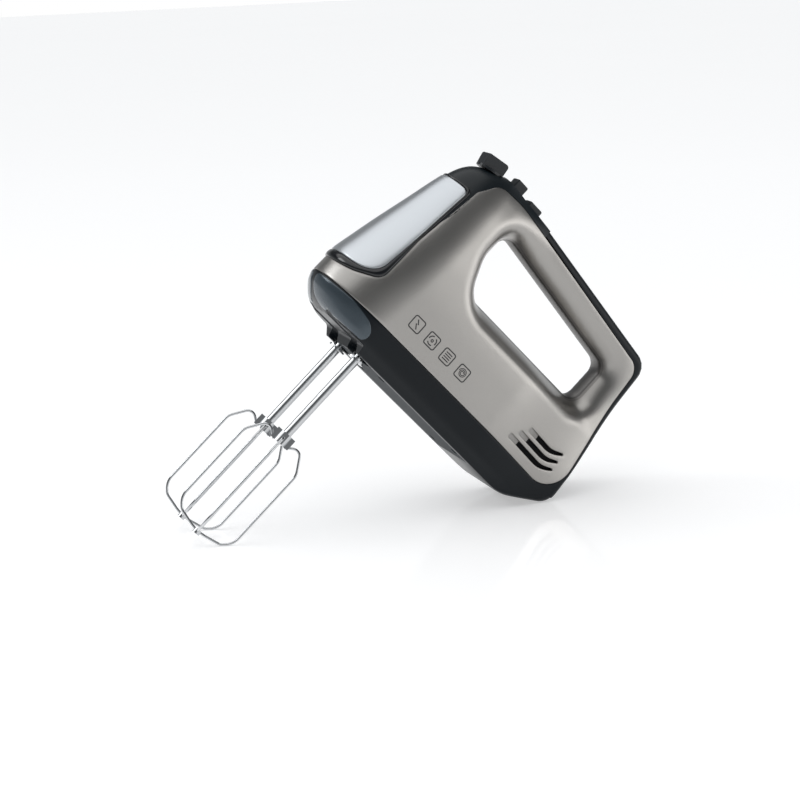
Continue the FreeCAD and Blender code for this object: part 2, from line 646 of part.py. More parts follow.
def add_frame():
    """Gearbox frame: two decks for the spindles and two walls for the motor shaft."""
    inside = skin(WALL + 0.4)
    deck = [box(-20, 25, -31, 31, *LOWER_DECK), box(-20, 25, -31, 31, *UPPER_DECK)]
    walls = [box(*FRONT_BLOCK, -9, 9, LOWER_DECK[1], UPPER_DECK[0]),
             box(*MIDDLE_BLOCK, -26, 26, FLOOR, UPPER_DECK[1])]
    walls.append(box(MIDDLE_BLOCK[1], -18, -26, 26, *LOWER_DECK))
    walls.append(box(MIDDLE_BLOCK[1], -18, -26, 26, *UPPER_DECK))
    pillars = [box(-20, -15.5, side * 29 - 2, side * 29 + 2, LOWER_DECK[1], UPPER_DECK[0])
               for side in (1, -1)]
    pads = [post(FRONT_FOOT, 0, *LOWER_DECK, 5), box(24, FRONT_FOOT, -5, 5, *LOWER_DECK)]
    frame = joined([p.common(inside) for p in deck + walls + pillars + pads])
    for _, y in beater_axes():
        frame = frame.cut(post(0, y, 0, 80, SPINDLE_RADIUS + RUNNING_CLEARANCE))
    frame = frame.cut(bar(FRONT_BLOCK[0], FRONT_BLOCK[1], BEARING_RADIUS - 1.5))
    frame = frame.cut(bar(MIDDLE_BLOCK[0], MIDDLE_BLOCK[1], BEARING_RADIUS))
    for bolt in motor_bolts():
        frame = frame.cut(bolt)
    PARTS["gearbox_frame"] = frame
    rear = joined([box(*REAR_BLOCK, -27, 27, 8, 64), box(*REAR_BLOCK, -6, 6, FLOOR, 8)])
    rear = rear.cut(bar(*REAR_BLOCK, BEARING_RADIUS))
    for side in (1, -1):
        for turn in (45, 135):
            hole = bar(*REAR_BLOCK, 6, side * 14 * math.sin(math.radians(turn)),
                       MOTOR_AXIS_HEIGHT + 14 * math.cos(math.radians(turn)))
            rear = rear.cut(hole)
    for bolt in motor_bolts():
        rear = rear.cut(bolt)
    PARTS["rear_motor_bracket"] = rear
    bearings = [("front", FRONT_BLOCK, BEARING_RADIUS - 1.5, FRONT_SHAFT),
                ("middle", MIDDLE_BLOCK, BEARING_RADIUS, MOTOR_SHAFT_RADIUS),
                ("rear", REAR_BLOCK, BEARING_RADIUS, MOTOR_SHAFT_RADIUS)]
    for name, block, radius, shaft in bearings:
        ring = bar(*block, radius).cut(bar(*block, shaft + RUNNING_CLEARANCE))
        PARTS["motor_bearing_" + name] = ring


# ---- motor --------------------------------------------------------------------------------------
BOLT_RADIUS = 2.0


def motor_bolts():
    bolts = []
    for side in (1, -1):
        for rise in (1, -1):
            bolts.append(bar(REAR_BLOCK[0], MIDDLE_BLOCK[1], BOLT_RADIUS,
                             side * (STACK_HALF_WIDTH - 4.5), MOTOR_AXIS_HEIGHT + rise * (STACK_HALF_HEIGHT - 8)))
    return bolts


def add_motor():
    height = MOTOR_AXIS_HEIGHT
    stack = box(STACK_REAR, STACK_FRONT, -STACK_HALF_WIDTH, STACK_HALF_WIDTH,
                height - STACK_HALF_HEIGHT, height + STACK_HALF_HEIGHT)
    upright = [e for e in stack.Edges if abs(e.tangentAt(e.FirstParameter).x) > 0.9]
    stack = stack.makeFillet(4, upright)
    stack = stack.cut(bar(STACK_REAR, STACK_FRONT, ARMATURE_RADIUS + AIR_GAP))
    window = [box(STACK_REAR, STACK_FRONT, -13.0, 13.0, height + rise * 18.6 - 2.6, height + rise * 18.6 + 2.6)
              for rise in (1, -1)]
    coils = []
    for rise, cutter in zip((1, -1), window):
        stack = stack.cut(cutter)
        coil = box(STACK_REAR - 5, STACK_FRONT + 5, -13.0, 13.0,
                   height + rise * 18.6 - 2.6, height + rise * 18.6 + 2.6)
        corners = [e for e in coil.Edges if abs(e.tangentAt(e.FirstParameter).y) > 0.9]
        coils.append(coil.makeFillet(2, corners))
    for bolt in motor_bolts():
        stack = stack.cut(bolt)
    PARTS["field_stack"] = stack
    PARTS["field_coil_upper"] = coils[0]
    PARTS["field_coil_lower"] = coils[1]
    PARTS["motor_bolts"] = Part.makeCompound(motor_bolts())
    add_rotor()
    add_brushes()


def add_rotor():
    rear_end = -116
    shaft = joined([bar(rear_end, MIDDLE_BLOCK[1] + 4, MOTOR_SHAFT_RADIUS),
                    bar(MIDDLE_BLOCK[1] + 4, FRONT_BLOCK[1] + 1, FRONT_SHAFT)])
    PARTS["motor_shaft"] = shaft
    core = bar(STACK_REAR + 1, STACK_FRONT - 1, ARMATURE_RADIUS)
    for k in range(10):
        slot = box(STACK_REAR, STACK_FRONT, -0.8, 0.8, ARMATURE_RADIUS - 2.5, ARMATURE_RADIUS + 1)
        slot.rotate(Vector(0, 0, 0), Vector(1, 0, 0), 36 * k)
        slot.translate(Vector(0, 0, MOTOR_AXIS_HEIGHT))
        core = core.cut(slot)
    PARTS["armature_core"] = core.cut(shaft)
    windings = []
    for start, end in ((STACK_REAR - 5, STACK_REAR + 1), (STACK_FRONT - 1, STACK_FRONT + 5)):
        ring = bar(start, end, ARMATURE_RADIUS - 3)
        ring = ring.makeFillet(2.2, [e for e in ring.Edges if e.Length > 10])
        windings.append(ring.cut(shaft))
    PARTS["armature_windings"] = Part.makeCompound(windings)
    commutator = bar(COMMUTATOR[0], COMMUTATOR[1], COMMUTATOR_RADIUS)
    for k in range(12):
        slot = box(*COMMUTATOR, -0.25, 0.25, COMMUTATOR_RADIUS - 0.8, COMMUTATOR_RADIUS + 1)
        slot.rotate(Vector(0, 0, 0), Vector(1, 0, 0), 30 * k)
        slot.translate(Vector(0, 0, MOTOR_AXIS_HEIGHT))
        commutator = commutator.cut(slot)
    PARTS["commutator"] = commutator.cut(shaft)
    PARTS["cooling_fan"] = fan().cut(shaft)



def fan():
    hub = bar(-113, -103, 5.5)
    disc = bar(-104.5, -103, 23)
    blades = []
    for k in range(9):
        blade = box(-112, -104.5, -0.7, 0.7, 4, 22)
        blade.rotate(Vector(0, 0, 5), Vector(1, 0, 0), 24)
        blade.rotate(Vector(0, 0, 0), Vector(1, 0, 0), 40 * k)
        blade.translate(Vector(0, 0, MOTOR_AXIS_HEIGHT))
        blades.append(blade)
    return joined([hub, disc, *blades])


def add_brushes():
    holders = []
    for name, side in SIDES.items():
        near = side * (COMMUTATOR_RADIUS + 0.35)
        far = side * 23.0
        low, high = min(near, far), max(near, far)
        brush = box(-41, -35, low, high - 8 if side > 0 else high, 37.5, 42.5)
        if side < 0:
            brush = box(-41, -35, low + 8, high, 37.5, 42.5)
        sleeve_start = side * (COMMUTATOR_RADIUS + 2.5)
        sleeve = box(-43, MIDDLE_BLOCK[0], min(sleeve_start, far), max(sleeve_start, far), 35.5, 44.5)
        bore = sorted((sleeve_start, far * 0.93))
        sleeve = sleeve.cut(box(-41, -35, *bore, 37.5, 42.5))
        PARTS["carbon_brush_" + name] = brush
        holders.append(sleeve)
    PARTS["brush_holders"] = Part.makeCompound(holders)


# ---- controls -----------------------------------------------------------------------------------
def add_controls():
    skirt = tilted(post(0, 0, 0.3, 2.0, KNOB_SEAT_RADIUS - 1.6))
    half, height = KNOB_LENGTH / 2, KNOB_TOP - KNOB_SEAT - 1.6
    lever = rounded([(-half + 0.3, 0.6, 0), (half - 0.6, 0.6, 0), (half, height, 1.6), (-half, height, 2.2)])
    lever = tilted(across(lever, -KNOB_WIDTH / 2, KNOB_WIDTH / 2))
    stem = tilted(post(0, 0, -11, 1, 2.9))
    PARTS["speed_knob"] = joined([skirt, lever, stem])
    add_switch_boxes()
    eject = box(EJECT_U - EJECT_LENGTH / 2, EJECT_U + EJECT_LENGTH / 2, -EJECT_WIDTH / 2, EJECT_WIDTH / 2,
                EJECT_TOP - 7.5, EJECT_TOP)
    eject = eject.makeFillet(1.2, eject.Edges)
    PARTS["eject_button"] = eject
    rod = joined([post(EJECT_U, 0, EJECT_PLATE[1], EJECT_TOP - 7.5, 2.0),
                  post(EJECT_U, 0, 140, 142, 4.2)])
    PARTS["eject_rod"] = rod
    bridge = joined([box(EJECT_U - 4, 4, -5, 5, *EJECT_PLATE),
                     box(-4, 4, -HALF_SPACING - 4, HALF_SPACING + 4, *EJECT_PLATE)])
    pin_low = SHAFT_INSERTION + EJECT_TRAVEL + 0.4
    pins = [post(0, y, pin_low, EJECT_PLATE[0], 2.5) for _, y in beater_axes()]
    PARTS["eject_bridge"] = joined([bridge, *pins])
    coil = spring(3.4, 0.4, 9.0, 5)
    coil.translate(Vector(EJECT_U, 0, 124.8))
    PARTS["eject_spring"] = coil
    turbo = box(TURBO_U - TURBO_LENGTH / 2, TURBO_U + TURBO_LENGTH / 2, -TURBO_WIDTH / 2, TURBO_WIDTH / 2,
                TURBO_TOP - 6, TURBO_TOP)
    turbo = turbo.makeFillet(1.2, turbo.Edges)
    PARTS["turbo_button"] = joined([turbo, post(TURBO_U, 0, 145, TURBO_TOP - 5, 1.6)])


def add_switch_boxes():
    speed = box(6, 22, -10.3, 10.3, 124, 138.5)
    speed = speed.cut(tilted(post(0, 0, -14, 10, 3.3)))
    PARTS["speed_switch"] = speed
    turbo = box(TURBO_U - 8, TURBO_U + 8, -5, 5, 134, 142)
    PARTS["turbo_switch"] = turbo


def add_circuit():
    board = box(-150, -122, -19, 19, 14, 15.6)
    chips = [box(-147 + 7 * k, -142 + 7 * k, -12, -4, 15.6, 18.5) for k in range(3)]
    tall = [post(-143 + 12 * k, 8, 15.6, 26, 4) for k in range(2)]
    PARTS["circuit_board"] = board
    PARTS["circuit_components"] = Part.makeCompound(chips + tall)


# ---- pose ---------------------------------------------------------------------------------------
def lowest(shapes, tilt):
    """Lowest point of the shapes once the mixer is tipped by tilt."""
    turned = [laid(s, tilt) for s in shapes]
    return min(s.optimalBoundingBox(False).ZMin for s in turned)


def laid(shape, tilt):
    shape = shape.copy()
    shape.rotate(Vector(0, 0, 0), Vector(0, 0, 1), 180)
    shape.rotate(Vector(0, 0, 0), Vector(0, 1, 0), tilt)
    return shape


def resting_tilt():
    """Tilt at which the beaters and the heel touch the table together."""
    heel = [PARTS["base_tub"], PARTS["handle_spine"]]
    cage = [PARTS["beater_left_wires"]]
    low, high = 35.0, 60.0
    for _ in range(14):
        middle = (low + high) / 2
        if lowest(cage, middle) > lowest(heel, middle):
            high = middle
        else:
            low = middle
    return (low + high) / 2


def main():
    add_casing()
    add_beaters()
    add_gearing()
    add_frame()
    add_motor()
    add_controls()
    add_circuit()
    tilt = resting_tilt()
    placed = {name: laid(solid, tilt) for name, solid in PARTS.items()}
    bounds = Part.makeCompound(list(placed.values())).optimalBoundingBox(False)
    shift = Vector(-(bounds.XMin + bounds.XMax) / 2, -(bounds.YMin + bounds.YMax) / 2, -bounds.ZMin)
    os.makedirs("parts", exist_ok=True)
    for name, solid in placed.items():
        solid.translate(shift)
        solid.exportStep("parts/%s.step" % name)
    size = [bounds.XLength, bounds.YLength, bounds.ZLength]
    print(json.dumps({"tilt": tilt, "shift": list(shift), "size": size}))


if __name__ == "__main__":
    main()
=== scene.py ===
"""Looks of the hand mixer: smooth moulded skins, procedural materials, studio light and the camera.

Shapes are drawn in the mixer's own frame, in millimetres: u forward to the nose, y to the left, w up
to the handle. MIXER carries them to the row frame, where the mixer leans on its beaters and heel.
"""
import json
import math

import bmesh
import bpy
from mathutils import Matrix, Vector
from mathutils.geometry import delaunay_2d_cdt
from mathutils.kdtree import KDTree


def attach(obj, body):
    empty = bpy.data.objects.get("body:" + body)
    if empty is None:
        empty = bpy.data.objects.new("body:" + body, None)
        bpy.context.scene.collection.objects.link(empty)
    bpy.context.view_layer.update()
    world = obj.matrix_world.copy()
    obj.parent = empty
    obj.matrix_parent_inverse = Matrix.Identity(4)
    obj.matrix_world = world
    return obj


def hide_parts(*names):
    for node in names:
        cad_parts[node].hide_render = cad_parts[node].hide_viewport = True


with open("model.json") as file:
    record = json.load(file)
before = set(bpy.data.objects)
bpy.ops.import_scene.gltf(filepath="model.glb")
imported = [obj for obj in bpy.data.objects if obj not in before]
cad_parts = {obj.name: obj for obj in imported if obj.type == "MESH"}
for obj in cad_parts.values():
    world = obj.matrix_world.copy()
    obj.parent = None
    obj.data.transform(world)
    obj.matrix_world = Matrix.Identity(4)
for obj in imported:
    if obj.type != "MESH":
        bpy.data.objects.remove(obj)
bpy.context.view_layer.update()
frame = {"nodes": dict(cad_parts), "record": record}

# ---- the mixer's own frame, read from the joints ------------------------------------------------
JOINTS = {joint["name"]: joint for joint in frame["record"]["behaviour"]["joints"]}
FORWARD = Vector(JOINTS["motor_spin"]["axis"]).normalized()
UPWARD = Vector(JOINTS["spindle_left_spin"]["axis"]).normalized()
LEFT = UPWARD.cross(FORWARD)
MOTOR_AXIS_HEIGHT = 40.0
ORIGIN = Vector(JOINTS["motor_spin"]["pos_m"]) - UPWARD * MOTOR_AXIS_HEIGHT / 1000
MIXER = Matrix.Translation(ORIGIN) @ Matrix((FORWARD, LEFT, UPWARD)).transposed().to_4x4()
MIXER = MIXER @ Matrix.Scale(0.001, 4)

# ---- driving sizes, the same as the CAD model's -------------------------------------------------
BODY_TOP = 154.5
NOSE_REACH = 55.0
TAIL_REACH = 173.0
HALF_WIDTH = 41.0
TAIL_HALF_WIDTH = 27.0
GRIP_HALF_WIDTH = 17.0
BELT = 23.5
BASE_WALL, HOLLOW_FLOOR = 3.0, 9.0    # of the base tub
NOSE_STEP, NOSE_FLOOR = 7.0, 6.0       # ahead of the step the underside is raised
PLATE_REAR, PLATE_FRONT, PLATE_HALF_WIDTH, PLATE_THICKNESS = -106.0, 5.0, 27.0, 1.2
NOTCH_RADIUS, NOTCH_HEIGHT = 8.5, -0.5    # round grooves ahead of the two beater sockets
SOCKET_RADIUS = 6.6
REAR_CORNER = 6.0            # rounds the base's rear corners, seen from below
SPINE_DEPTH = 7.0
SPINE_ROLL = 4.5             # rounds the long edges of the strip over the grip
HEEL_TOP = 46.0              # below here the strip ends level with the base's rear
TAIL_LEAN = 9.5
GRIP_DROP = 18.5
GRIP_THICKNESS = 23.5
HOLE_FRONT, HOLE_REAR, HOLE_FLOOR = -21.5, -143.0, 81.5
COVER_TOP, COVER_BOTTOM = 127.0, 41.0
BEATER_OFFSET = 19.0
WIDTHS = [
    (0, HALF_WIDTH - 9.0), (4, HALF_WIDTH - 5.4), (8, HALF_WIDTH - 1.8), (10, HALF_WIDTH - 0.9),
    (BELT, HALF_WIDTH), (50, HALF_WIDTH - 1), (80, HALF_WIDTH - 4.5), (105, HALF_WIDTH - 9.5),
    (125, HALF_WIDTH - 14), (140, HALF_WIDTH - 20), (148, HALF_WIDTH - 25), (156, HALF_WIDTH - 33),
]                            # (height, half width)
NOSES = [
    (0, NOSE_REACH - 29), (NOSE_FLOOR, NOSE_REACH - 20), (8, NOSE_REACH - 13), (13, NOSE_REACH - 6),
    (18, NOSE_REACH - 1.8), (BELT, NOSE_REACH), (36, NOSE_REACH - 0.2), (60, NOSE_REACH - 4.7),
    (100, NOSE_REACH - 14.4), (COVER_TOP, NOSE_REACH - 21.2), (138, NOSE_REACH - 25.5),
    (145, NOSE_REACH - 31), (150, NOSE_REACH - 39), (156, NOSE_REACH - 55),
]                            # (height, how far forward the nose reaches)
NOSE_ARC = 67.0              # length along the skin from the widest place to the nose's tip
DIP_REACH = 17.0             # how far the dip round the handle opening spreads
HOLE_EDGE_HALF_WIDTH = 7.0
EDGE_ROLL = 0.7              # radius of every moulding's edge
FAR = NOSE_REACH + 20


# ---- curves -------------------------------------------------------------------------------------
def smooth(x):
    x = max(0.0, min(1.0, x))
    return x * x * (3 - 2 * x)


def through(points, x):
    """Smooth value at x of a curve through (x, value) points, with no overshoot."""
    if x <= points[0][0]:
        return points[0][1]
    if x >= points[-1][0]:
        return points[-1][1]
    slopes = [(b[1] - a[1]) / (b[0] - a[0]) for a, b in zip(points, points[1:])]
    tangents = [slopes[0]]
    for s0, s1 in zip(slopes, slopes[1:]):
        tangents.append(0.0 if s0 * s1 <= 0 else 2 * s0 * s1 / (s0 + s1))
    tangents.append(slopes[-1])
    i = max(k for k in range(len(slopes)) if points[k][0] <= x)
    (x0, y0), (x1, y1) = points[i], points[i + 1]
    h = x1 - x0
    t = (x - x0) / h
    level = y0 * (1 + 2 * t) * (1 - t) ** 2 + y1 * t * t * (3 - 2 * t)
    return level + h * t * (1 - t) * (tangents[i] * (1 - t) - tangents[i + 1] * t)


def outline(corners, step=1.5, closed=True):
    """Evenly spaced points along a line through (u, w, radius) corners."""
    n = len(corners)
    points = [Vector((u, w)) for u, w, r in corners]
    dense = []
    for i, (u, w, r) in enumerate(corners):
        p = points[i]
        if r <= 0 or (not closed and i in (0, n - 1)):
            dense.append(p)
            continue
        a = (points[i - 1] - p).normalized()
        b = (points[(i + 1) % n] - p).normalized()
        half = a.angle(b) / 2
        reach = r / math.tan(half)
        start, end = p + a * reach, p + b * reach
        centre = p + (a + b).normalized() * (r / math.sin(half))
        sweep = math.pi - 2 * half
        for k in range(17):
            t = k / 16
            arm = (start - centre) * math.sin((1 - t) * sweep) + (end - centre) * math.sin(t * sweep)
            dense.append(centre + arm / math.sin(sweep))
    return evenly(dense + dense[:1] if closed else dense, step, closed)


def evenly(dense, step, closed):
    """The line through dense points, divided again into steps of about the given length."""
    lengths = [0.0]
    for a, b in zip(dense, dense[1:]):
        lengths.append(lengths[-1] + (b - a).length)
    count = max(8, round(lengths[-1] / step))
    points, i = [], 0
    for k in range(count if closed else count + 1):
        target = lengths[-1] * k / count
        while i < len(lengths) - 2 and lengths[i + 1] < target:
            i += 1
        span = lengths[i + 1] - lengths[i]
        t = (target - lengths[i]) / span if span > 1e-9 else 0
        points.append(dense[i].lerp(dense[i + 1], t))
    return points


def offset_loop(loop, distance):
    """The closed loop moved outward by distance, for a loop that runs anticlockwise."""
    n = len(loop)
    moved = []
    for i, p in enumerate(loop):
        along = (loop[(i + 1) % n] - loop[i - 1]).normalized()
        moved.append(p + Vector((along.y, -along.x)) * distance)
    return moved


def anticlockwise(loop):
    area = sum(a.x * b.y - b.x * a.y for a, b in zip(loop, loop[1:] + loop[:1]))
    return loop if area > 0 else loop[::-1]


def inside(point, loop):
    x, y = point
    hit = False
    for a, b in zip(loop, loop[1:] + loop[:1]):
        if (a.y > y) != (b.y > y) and x < a.x + (y - a.y) / (b.y - a.y) * (b.x - a.x):
            hit = not hit
    return hit


def kd_of(points):
    """Search tree over (u, w) points."""
    tree = KDTree(len(points))
    for i, q in enumerate(points):
        tree.insert((q.x, q.y, 0), i)
    tree.balance()
    return tree


def through_line(points, x):
    """Value at x of the straight pieces through (x, value) points."""
    for (x0, y0), (x1, y1) in zip(points, points[1:]):
        if x0 <= x <= x1:
            return y0 + (y1 - y0) * (x - x0) / max(x1 - x0, 1e-9)
    return points[0][1] if x < points[0][0] else points[-1][1]


# ---- outlines in the side view ------------------------------------------------------------------
def profile_outline():
    return outline([
        (FAR, 0, 0), (FAR, BODY_TOP, 0), (0, BODY_TOP, 90),
        (-TAIL_REACH + TAIL_LEAN, BODY_TOP - GRIP_DROP, 12), (-TAIL_REACH, BELT - 4, 13),
        (-TAIL_REACH + 34, 0, 30)], 1.0)


def hole_outline(step=1.5):
    slope = GRIP_DROP / (TAIL_REACH - TAIL_LEAN)
    roof = BODY_TOP - GRIP_THICKNESS
    return anticlockwise(outline([
        (HOLE_FRONT, HOLE_FLOOR + 24, 20), (HOLE_FRONT - 10, HOLE_FLOOR, 17),
        (HOLE_REAR, HOLE_FLOOR, 9), (HOLE_REAR, roof + slope * HOLE_REAR, 9),
        (HOLE_FRONT - 1, roof + slope * HOLE_FRONT, 9)], step))


REAR_FACE = -TAIL_REACH
SHELL_REAR = [
    (REAR_FACE + 2.6, BELT, 20),
    (REAR_FACE + TAIL_LEAN + 5, BODY_TOP - GRIP_DROP - SPINE_DEPTH + 1, 11),
    (-14, BODY_TOP - SPINE_DEPTH + 0.4, 60),
]
SEAL_BOTTOM = COVER_BOTTOM - 6.5
SEAL_EDGE = [(28.3, 80, 60), (30.8, COVER_BOTTOM + 4, 9), (50, SEAL_BOTTOM, 30)]


def shell_outline():
    front = [(7, BODY_TOP - SPINE_DEPTH - 1, 14), (18.4, COVER_TOP + 4, 12)] + SEAL_EDGE
    return anticlockwise(outline([(FAR, BELT, 0)] + SHELL_REAR + front + [(FAR, SEAL_BOTTOM, 0)]))


# ---- the moulded skin ---------------------------------------------------------------------------
def section(w):
    """The skin's shape at height w.

    Gives the half width, how far the nose reaches, the place of the widest point, the half width at
    the rear, where the taper to the rear starts and how long that taper is.
    """
    nose = through(NOSES, w)
    centre = min(10 - 12 * smooth(w / 130.0), nose - 6)
    rear = TAIL_HALF_WIDTH + (GRIP_HALF_WIDTH - TAIL_HALF_WIDTH) * smooth((w - 30) / 75.0)
    return (through(WIDTHS, w), nose, centre, rear,
            -90 + 80 * smooth((w - 70) / 40.0), 80 - 35 * smooth((w - 70) / 40.0))


def along_skin(u, w):
    """How far u lies along the skin, measured from the widest place: forward is positive."""
    _, nose, centre, *_ = section(w)
    if u <= centre:
        return u - centre
    return NOSE_ARC * (1 - math.acos(min(1.0, (u - centre) / (nose - centre))) * 2 / math.pi)


def skin_point(p, w):
    """(u, y) of the smooth outer form at distance p along the skin and height w."""
    width, nose, centre, rear, knee, run = section(w)
    if p > 0:
        turn = math.pi / 2 * (1 - min(p / NOSE_ARC, 1.0))
        return centre + (nose - centre) * math.cos(turn), width * math.sin(turn)
    u = centre + p
    return u, rear + (width - rear) * (1 - smooth((knee - u) / run))


HOLE_POINTS = kd_of(hole_outline(0.35))


def outer(p, w):
    """Point of the shells' outer surface on the left side, with the dip round the handle opening."""
    u, y = skin_point(p, w)
    near, _, distance = HOLE_POINTS.find((u, w, 0))
    if distance < DIP_REACH:
        x = distance / DIP_REACH
        edge = min(HOLE_EDGE_HALF_WIDTH, y)
        y = edge + (y - edge) * (1 - (1 - x) ** 2.5)
    return Vector((u, y, w))


def plain(p, w):
    """Point of the smooth outer form on the left side, without the dip."""
    u, y = skin_point(p, w)
    return Vector((u, y, w))


def normal_at(surface, p, w):
    """Normal of the surface at one place, from neighbours a quarter of a millimetre away."""
    e = 0.25
    across = surface(min(p + e, NOSE_ARC), w) - surface(p - e, w)
    rise = surface(p, w + e) - surface(p, w - e)
    n = rise.cross(across)
    return -n.normalized() if n.y > 0 or (abs(n.y) < 1e-6 and n.x < 0) else n.normalized()


def lifted(surface, p, w, depth):
    """Surface point sunk by depth along the inward normal; at the nose's tip the normal has no y."""
    p = min(p, NOSE_ARC)
    point = surface(p, w)
    if depth == 0:
        return point
    n = normal_at(surface, p, w)
    if n.dot(Vector((0.2, 1, 0))) < 0:
        n = -n
    if p >= NOSE_ARC - 1e-6:
        n = Vector((n.x, 0, n.z)).normalized()
    return point - n * depth


# ---- mesh building ------------------------------------------------------------------------------
class Mesh:
    """Vertices and faces gathered in the mixer's frame, then made into one object."""

    def __init__(self):
        self.points, self.faces = [], []
        # the faces listed here take the darker paint round the handle opening: painted shade
        self.shades = {}             # number of the material, for faces that don't have the first one

    def add(self, points):
        start = len(self.points)
        self.points += [Vector(p) for p in points]
        return list(range(start, len(self.points)))

    def strip(self, a, b, shade=0):
        """Band of faces between two closed rings with the same number of points."""
        n = len(a)
        for i in range(n):
            j = (i + 1) % n
            if shade:
                self.shades[len(self.faces)] = shade
            self.faces.append((a[i], a[j], b[j], b[i]))

    def make(self, name, material, body="body", replaces=(), slot=None, mirror=False, both=False,
             crease=40):
        """One object: as drawn, mirrored to the right side, or with both sides joined at the middle."""
        bm = bmesh.new()
        verts = [bm.verts.new(p) for p in self.points]
        for k, face in enumerate(self.faces):
            ring = [verts[i] for i in dict.fromkeys(face)]
            if len(ring) > 2 and not bm.faces.get(ring):
                bm.faces.new(ring).material_index = self.shades.get(k, 0)
        if mirror or both:
            source = bm.verts[:] + bm.edges[:] + bm.faces[:]
            if both:
                copy = bmesh.ops.duplicate(bm, geom=source)["geom"]
                moved = [g for g in copy if isinstance(g, bmesh.types.BMVert)]
                flipped = [g for g in copy if isinstance(g, bmesh.types.BMFace)]
            else:
                moved, flipped = bm.verts[:], bm.faces[:]
            for v in moved:
                v.co.y = -v.co.y
            bmesh.ops.reverse_faces(bm, faces=flipped)
        bmesh.ops.remove_doubles(bm, verts=bm.verts[:], dist=0.004)
        if both:
            seam = [f for f in bm.faces if all(abs(v.co.y) < 0.01 for v in f.verts)]
            bmesh.ops.delete(bm, geom=seam, context="FACES_ONLY")
        bmesh.ops.recalc_face_normals(bm, faces=bm.faces[:])
        bm.transform(MIXER)
        mesh = bpy.data.meshes.new(name)
        bm.to_mesh(mesh)
        bm.free()
        piece = bpy.data.objects.new(name, mesh)
        bpy.context.scene.collection.objects.link(piece)
        mesh.materials.append(material)
        soften(piece, crease)
        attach(piece, body)
        if replaces:
            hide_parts(*replaces)
        return piece


def soften(piece, crease):
    """Smooth shading, with edges sharper than crease degrees kept sharp."""
    mesh = piece.data
    mesh.polygons.foreach_set("use_smooth", [True] * len(mesh.polygons))
    mesh.set_sharp_from_angle(angle=math.radians(crease))


def to_skin(loop):
    """A (u, w) outline as distances along the skin and heights."""
    return [Vector((along_skin(q.x, q.y), q.y)) for q in loop]


def patch(surface, loop, holes=(), open_rims=(), thickness=2.0, proud=0.0, grid=1.9, roll=EDGE_ROLL,
          flatten=None):
    """Closed shell over the region inside loop and outside holes, with rolled edges.

    loop and holes are (u, w) outlines, which flatten turns into distances along the skin. open_rims
    are holes with no rolled edge: the handle opening, which runs on as a tunnel to y = 0.
    """
    flatten = flatten or to_skin
    mesh = Mesh()
    rims = []
    outlines = [(anticlockwise(list(loop)), -1)] + [(anticlockwise(list(h)), 1) for h in holes]
    for ring, sign in outlines:
        inner = [Vector(q) for q in flatten(offset_loop(ring, sign * roll))]
        rims.append((ring, sign, inner))
    for ring in open_rims:
        rims.append((ring, 0, to_skin(offset_loop(ring, 5.0))))
    points, edges = [], []
    for _, _, inner in rims:
        start = len(points)
        points += [Vector((min(q.x, NOSE_ARC), q.y)) for q in inner]
        count = len(inner)
        edges += [(start + i, start + (i + 1) % count) for i in range(count)]
    bound, *voids = [r[2] for r in rims]
    points += grid_points(bound, voids, grid)
    flat, _, triangles, sources, *_ = delaunay_2d_cdt(points, edges, [], 0, 1e-5)
    place = {old: new for new, olds in enumerate(sources) for old in olds}
    kept = []
    for tri in triangles:
        middle = sum((flat[i] for i in tri), Vector((0, 0))) / 3
        if inside(middle, bound) and not any(inside(middle, v) for v in voids):
            kept.append(tri)
    top = mesh.add([lifted(surface, q.x, q.y, -proud) for q in flat])
    under = mesh.add([lifted(surface, q.x, q.y, thickness - proud) for q in flat])
    mesh.faces += [tuple(top[i] for i in tri) for tri in kept]
    mesh.faces += [tuple(under[i] for i in reversed(tri)) for tri in kept]
    start = 0
    for ring, sign, inner in rims:
        count = len(inner)
        upper = [top[place[i]] for i in range(start, start + count)]
        lower = [under[place[i]] for i in range(start, start + count)]
        start += count
        if sign == 0:
            add_tunnel(mesh, surface, ring, upper, lower)
        else:
            roll_over(mesh, surface, flatten, ring, sign * roll, thickness, proud, upper, lower)
    return mesh


def grid_points(bound, voids, grid):
    """Even triangular grid inside bound and outside voids, clear of their outlines."""
    guard = [kd_of(loop) for loop in [bound] + voids]
    low_x, low_y = min(q.x for q in bound), min(q.y for q in bound)
    rise = grid * 0.866
    rows = int((max(q.y for q in bound) - low_y) / rise) + 2
    columns = int((max(q.x for q in bound) - low_x) / grid) + 2
    points = []
    for r in range(rows):
        for c in range(columns):
            q = Vector((low_x + (c + 0.5 * (r % 2)) * grid, low_y + r * rise))
            if q.x > NOSE_ARC or not inside(q, bound) or any(inside(q, v) for v in voids):
                continue
            if all(g.find((q.x, q.y, 0))[2] > grid * 0.6 for g in guard):
                points.append(q)
    return points


def roll_over(mesh, surface, flatten, ring, roll, thickness, proud, upper, lower):
    """Rounds the shell's edge over ring and joins its outer side to its inner side.

    roll is the radius, negative where ring is the outside outline. At the nose's tip the edge stays
    up, because the other half meets it there.
    """
    previous = upper
    for k in range(1, 5):
        turn = math.pi / 8 * k
        depth = abs(roll) * (1 - math.cos(turn))
        points = []
        for q in flatten(offset_loop(ring, roll * (1 - math.sin(turn)))):
            held = q.x >= NOSE_ARC - 0.01
            points.append(lifted(surface, q.x, q.y, (0 if held else depth) - proud))
        current = mesh.add(points)
        mesh.strip(previous, current)
        previous = current
    skirt = mesh.add([lifted(surface, q.x, q.y, thickness - proud) for q in flatten(ring)])
    mesh.strip(previous, skirt)
    mesh.strip(skirt, lower)


